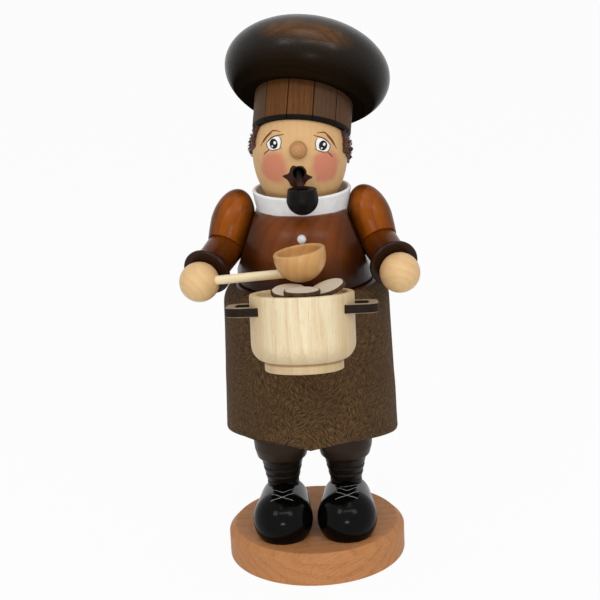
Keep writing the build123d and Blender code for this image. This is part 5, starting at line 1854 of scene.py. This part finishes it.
@dataclass
class CookHat:
    """Band of staves and a lacquered bun, tipped back on the head."""

    bench: Bench
    tilt_back: float = 27.0
    tilt_side: float = 5.5
    seat_up: float = 7.1
    head_above_jacket: float = 20.7
    band_radius: float = 18.5
    band_height: float = 15.6
    band_edge: float = 1.1
    staves: int = 12
    # Middle index of the front staves, which the painted grey reflection leaves out.
    front_stave_middle: float = 8.5
    pleat: float = 0.5
    puff_radius: float = 31.4
    puff_half: float = 18.5
    puff_above: float = 8.7
    puff_back: float = 31.0
    puff_side: float = 9.1
    lip_radius: float = 23.5
    seat_drop: float = 2.0

    def __post_init__(self) -> None:
        """Works out the hat's axis and its seat on the head."""
        self.axis = self.tipped(self.tilt_back, self.tilt_side)
        centre = Vector((0, 0, height_of("jacket") + self.head_above_jacket))
        self.seat = Seat(tuple(centre + self.axis * self.seat_up), tuple(self.axis))
        puff_axis = self.tipped(self.puff_back, self.puff_side)
        self.puff_seat = Seat(tuple(self.seat.at(0, 0, self.band_height)), tuple(puff_axis))

    @staticmethod
    def tipped(back: float, side: float) -> Vector:
        """Upright direction tipped back and sideways by angles in degrees."""
        back, side = math.radians(back), math.radians(side)
        return Vector((math.sin(side), math.sin(back) * math.cos(side), math.cos(back) * math.cos(side)))

    def build(self) -> None:
        """Builds the band and the bun."""
        self.band()
        self.puff()
        self.bench.dress("hat_dowel", DOWEL.material(self.bench.palette, "hat_dowel_wood", Seat()))

    def stave(self, material: Material) -> Object:
        """One stave of the band, with its long edges rounded into the pleat lines."""
        half = math.pi / self.staves
        steps = [-1.0, -0.985, -0.96, -0.92, -0.8, -0.5, 0.0, 0.5, 0.8, 0.92, 0.96, 0.985, 1.0]
        levels = [(0.0, self.band_edge), (0.3 * self.band_edge, 0.7 * self.band_edge), (self.band_edge, 0.15),
                  (1.3 * self.band_edge, 0.0), (self.band_height * 0.5, 0.0), (self.band_height + 0.6, 0.0)]
        spots, faces = [], []
        for height, inset in levels:
            for share in steps:
                groove = self.pleat * max(0.0, (abs(share) - 0.93) / 0.07) ** 1.6
                reach = self.band_radius - inset - groove
                spots.append(Vector((reach * math.cos(half * share), reach * math.sin(half * share), height)))
        wide = len(steps)
        for row in range(len(levels) - 1):
            for k in range(wide - 1):
                a = row * wide + k
                faces.append((a, a + 1, a + wide + 1, a + wide))
        low, high = len(spots), len(spots) + 1
        spots += [Vector((0, 0, 0)), Vector((0, 0, levels[-1][0]))]
        top = (len(levels) - 1) * wide
        for k in range(wide - 1):
            faces.append((low, k + 1, k))
            faces.append((high, top + k, top + k + 1))
        made = bpy.data.objects.new("stave", self.bench.mesh("stave", spots, faces, material))
        bpy.context.scene.collection.objects.link(made)
        return made

    def stave_tree(self) -> Tree:
        """Tree that sets staves side by side round the band, each but the front ones with a painted grey
        reflection whose strength varies at random from stave to stave.
        """
        s, given = self.bench.new_tree("stave_ring", {
            "Stave": "Object", "Count": "Int", "Seed": "Int", "Material": "Material"})
        stave = s.put("GeometryNodeObjectInfo", Object=given.outputs["Stave"])
        spots = s.put("GeometryNodePoints", Count=given.outputs["Count"])
        index = s.node("GeometryNodeInputIndex").outputs[0]
        turn = s.math("DIVIDE", s.math("MULTIPLY", index, 2 * math.pi), given.outputs["Count"])
        angles = s.put("ShaderNodeCombineXYZ", Z=turn)
        tone = s.node("FunctionNodeRandomValue", data_type="FLOAT")
        tone.inputs[2].default_value = 0.6
        s.feed(tone.inputs["Seed"], given.outputs["Seed"])
        # Painted reflection: staves away from the front get a grey sheen of the bright surroundings, its
        # strength random from stave to stave.
        off_front = s.math("ABSOLUTE", s.math("SUBTRACT", index, self.front_stave_middle))
        sheen_and_tone = s.math("MULTIPLY", s.span(off_front, 0.6, 1.2), tone.outputs[1])
        placed = s.put("GeometryNodeInstanceOnPoints", Points=spots.outputs[0],
                       Instance=stave.outputs["Geometry"], Rotation=angles.outputs[0])
        toned = s.node("GeometryNodeStoreNamedAttribute", data_type="FLOAT", domain="INSTANCE")
        s.fill(toned, Name="stave_tone", Geometry=placed.outputs["Instances"], Value=sheen_and_tone)
        real = s.put("GeometryNodeRealizeInstances", Geometry=toned.outputs["Geometry"])
        return self.bench.end_tree(s, given, real.outputs["Geometry"])

    def band(self) -> None:
        """Twelve staves with a dark lower edge that is painted shade."""
        wood = self.band_wood()
        mesh = self.bench.grow(self.stave_tree(), {
            "Stave": self.stave(wood), "Count": self.staves, "Seed": 4, "Material": wood})
        bpy.data.objects.remove(bpy.data.objects["stave"])
        band = self.bench.piece("hat_band_staves", mesh, self.seat)
        self.bench.fit(band, Body.UPPER, "band_stain", "hat_band")

    def band_wood(self) -> Material:
        """Brown stain with black pleat lines, a painted grey reflection on the staves away from the front,
        and a black lower edge that is painted shade.
        """
        name = "band_stave_wood"
        palette = self.bench.palette
        s, shader, place = palette.start(name, self.seat)
        grain = s.group(palette.effects.grain, Vector=s.vector("ADD", place, (*BAND_STAIN.pith, 0.0)),
                        Light=BAND_STAIN.light, Dark=BAND_STAIN.dark, Ring_Width=BAND_STAIN.ring_width,
                        Wander=BAND_STAIN.wander, Ring_Depth=BAND_STAIN.ring_depth, Fibre=BAND_STAIN.fibre,
                        Pores=BAND_STAIN.pores)
        tone = s.node("ShaderNodeAttribute", attribute_name="stave_tone").outputs["Fac"]
        # Grey-brown painted reflection, as strong as the value each stave carries.
        colour = s.mix(s.math("MULTIPLY", tone, 0.8), grain.outputs["Color"], paint(76, 60, 48))
        black = paint(14, 10, 8)
        reach = palette.coordinate(s, place, Along.RADIUS)
        colour = s.mix(s.span(reach, self.band_radius - 0.08, self.band_radius - 0.3), colour, black)
        height = palette.coordinate(s, place, Along.Z)
        # Black lower edge: painted shade where the band sits on the head.
        colour = s.mix(s.span(height, 1.5 * self.band_edge, 1.05 * self.band_edge), colour, black)
        s.fill(shader, Base_Color=colour, Roughness=BAND_STAIN.roughness,
               Specular_IOR_Level=BAND_STAIN.specular)
        palette.relief(s, shader, grain.outputs["Height"], 0.08)
        return bpy.data.materials[name]

    def puff(self) -> None:
        """Turned bun seated on the band, lighter along the upper front, where its stain is worn through and
        painted light falls on the top.
        """
        drop = math.sqrt(1 - (self.lip_radius / self.puff_radius) ** 2)
        lip = -math.degrees(math.asin(drop))
        outline = Outline().to(0, -self.seat_drop).to(self.band_radius - self.band_edge, -self.seat_drop)
        outline.arc((0, self.puff_above), (self.puff_radius, self.puff_half), lip, 90, 72)
        # Lighter band along the upper front that darkens away from it: partly worn-through stain, partly
        # painted light where the top faces the lamps.
        worn_and_lit = Seat((3.0, -9.4, 207.0), (0.97, -0.1, -0.17), (0, 0, 1))
        wood = HAT_STAIN.material(self.bench.palette, "puff_wood", worn_and_lit, (
            Shade(Along.RADIUS, 1.0, 6.5, paint(22, 16, 10), 0.95),
            Shade(Along.Z, 9.0, 26.0, paint(22, 16, 10), 0.93),
            Shade(Along.Z, -9.0, -22.0, paint(22, 16, 10), 0.93)))
        self.polish_top(wood)
        puff = self.bench.turn("hat_puff_turned", outline, self.puff_seat, wood, 192)
        self.bench.fit(puff, Body.UPPER, "puff_stain", "hat_puff")


    def polish_top(self, wood: Material) -> None:
        """Leaves the bun's underside matt, as only its top was lacquered."""
        s = Sketch(wood.node_tree)
        mapping = s.node("ShaderNodeMapping", vector_type="TEXTURE")
        s.fill(mapping, Location=self.puff_seat.matrix.translation,
               Rotation=self.puff_seat.matrix.to_euler(), Scale=(MM, MM, MM),
               Vector=s.node("ShaderNodeTexCoord").outputs["Object"])
        height = self.bench.palette.coordinate(s, mapping.outputs["Vector"], Along.Z)
        polished = s.span(height, self.puff_above - 10.0, self.puff_above)
        gloss = s.math("MULTIPLY", polished, HAT_STAIN.specular)
        s.feed(wood.node_tree.nodes["Principled BSDF"].inputs["Specular IOR Level"], gloss)


@dataclass
class Studio:
    """Pale floor, soft light and the camera at the photograph's angle."""

    focal_pixels: float = 1400.0
    image_pixels: float = 600.0
    sensor: float = 36.0
    azimuth: float = 2.0
    elevation: float = 15.65
    roll: float = 2.6
    distance: float = 538.5
    target_height: float = 103.0
    target_pixel: Flat = (306.8, 301.0)

    def build(self) -> None:
        """Sets the view, then floor, light and camera."""
        bpy.context.scene.view_settings.view_transform = "Standard"
        self.floor()
        self.world()
        self.lamps()
        self.camera()

    def camera(self) -> None:
        """Camera that stands where the photograph was taken."""
        turn, rise, roll = (math.radians(v) for v in (self.azimuth, self.elevation, self.roll))
        ahead = Vector((-math.sin(turn) * math.cos(rise), math.cos(turn) * math.cos(rise), -math.sin(rise)))
        right = Vector((math.cos(turn), math.sin(turn), 0.0))
        up = right.cross(ahead)
        side = right * math.cos(roll) - up * math.sin(roll)
        top = right * math.sin(roll) + up * math.cos(roll)
        data = bpy.data.cameras.new("camera")
        data.sensor_width = self.sensor
        data.lens = self.focal_pixels / self.image_pixels * self.sensor
        middle = self.image_pixels / 2
        data.shift_x = (middle - self.target_pixel[0]) / self.image_pixels
        data.shift_y = (self.target_pixel[1] - middle) / self.image_pixels
        data.clip_start = 0.01
        camera = bpy.data.objects.new("camera", data)
        place = Matrix((side, top, -ahead)).transposed().to_4x4()
        place.translation = (Vector((0, 0, self.target_height)) - ahead * self.distance) * MM
        camera.matrix_world = place
        bpy.context.scene.collection.objects.link(camera)
        bpy.context.scene.camera = camera

    @staticmethod
    def background_rays(s: Sketch) -> Socket:
        """One where a ray shows the background itself: seen, mirrored or through glass."""
        rays = s.node("ShaderNodeLightPath").outputs
        seen = s.math("MAXIMUM", rays["Is Camera Ray"], rays["Is Glossy Ray"])
        return s.math("MAXIMUM", seen, rays["Is Transmission Ray"])

    def floor(self) -> None:
        """Wide pale floor that keeps the object's shadow."""
        half = 12.0
        mesh = bpy.data.meshes.new("floor")
        corners = [(-half, -half, 0), (half, -half, 0), (half, half, 0), (-half, half, 0)]
        mesh.from_pydata(corners, [], [(0, 1, 2, 3)])
        floor = bpy.data.objects.new("floor", mesh)
        material = bpy.data.materials.new("floor_white")
        material.use_nodes = True
        s = Sketch(material.node_tree)
        shader = material.node_tree.nodes["Principled BSDF"]
        shader.inputs["Base Color"].default_value = (0.86, 0.86, 0.86, 1.0)
        shader.inputs["Roughness"].default_value = 0.9
        shader.inputs["Specular IOR Level"].default_value = 0.0
        glow = s.node("ShaderNodeEmission")
        mixed = s.node("ShaderNodeMixShader")
        s.feed(mixed.inputs[0], s.math("MULTIPLY", self.background_rays(s), 0.95))
        s.feed(mixed.inputs[1], shader.outputs[0])
        s.feed(mixed.inputs[2], glow.outputs[0])
        s.feed(material.node_tree.nodes["Material Output"].inputs["Surface"], mixed.outputs[0])
        mesh.materials.append(material)
        bpy.context.scene.collection.objects.link(floor)

    def world(self) -> None:
        """White surroundings that give only a little light of their own."""
        world = bpy.data.worlds.new("studio")
        bpy.context.scene.world = world
        world.use_nodes = True
        s = Sketch(world.node_tree)
        base = world.node_tree.nodes["Background"]
        base.inputs["Color"].default_value = (1.0, 1.0, 1.0, 1.0)
        base.inputs["Strength"].default_value = 0.42
        white = s.node("ShaderNodeBackground")
        white.inputs["Color"].default_value = (1.0, 1.0, 1.0, 1.0)
        mixed = s.node("ShaderNodeMixShader")
        s.feed(mixed.inputs[0], self.background_rays(s))
        s.feed(mixed.inputs[1], base.outputs[0])
        s.feed(mixed.inputs[2], white.outputs[0])
        s.feed(world.node_tree.nodes["World Output"].inputs["Surface"], mixed.outputs[0])

    @staticmethod
    def lamps() -> None:
        """Two soft boxes in front, one above, a strip for the hat's shine and a pair of low window lights."""
        boxes = {
            "key": ((-0.55, -0.8, 0.8), 0.3, 1.9),
            "fill": ((0.6, -0.8, 0.75), 0.3, 1.5),
            "top": ((0.05, -0.35, 1.1), 0.5, 1.75),
            "strip": ((0.12, -0.85, 0.82), (0.8, 0.1), 1.6),
            "window_left": ((-0.05, -0.9, 0.05), 0.07, 0.5),
            "window_right": ((0.05, -0.9, 0.05), 0.07, 0.5),
        }
        for name, (place, size, watts) in boxes.items():
            data = bpy.data.lights.new(name, "AREA")
            if isinstance(size, tuple):
                data.shape = "RECTANGLE"
                data.size, data.size_y = size
            else:
                data.size = size
            data.energy = watts
            lamp = bpy.data.objects.new(name, data)
            lamp.location = place
            way = Vector((0, 0, 0.11)) - Vector(place)
            lamp.rotation_euler = way.to_track_quat("-Z", "Y").to_euler()
            bpy.context.scene.collection.objects.link(lamp)


def main() -> None:
    """Builds the smoker from the ground up, then the studio."""
    logging.basicConfig(level=logging.INFO, format="%(message)s")
    bench = Bench()
    BaseAndLegs(bench).build()
    HipAndApron(bench).build()
    StockPot(bench).build()
    arms = Arms(bench)
    Torso(bench).build([arms.flat(-1), arms.flat(1)])
    arms.build()
    Ladle(bench).build(arms.hand_centre("left"), arms.hand_radius)
    hat = CookHat(bench)
    Head(bench, hat.axis).build()
    hat.build()
    Studio().build()


if __name__ == "__main__":
    main()
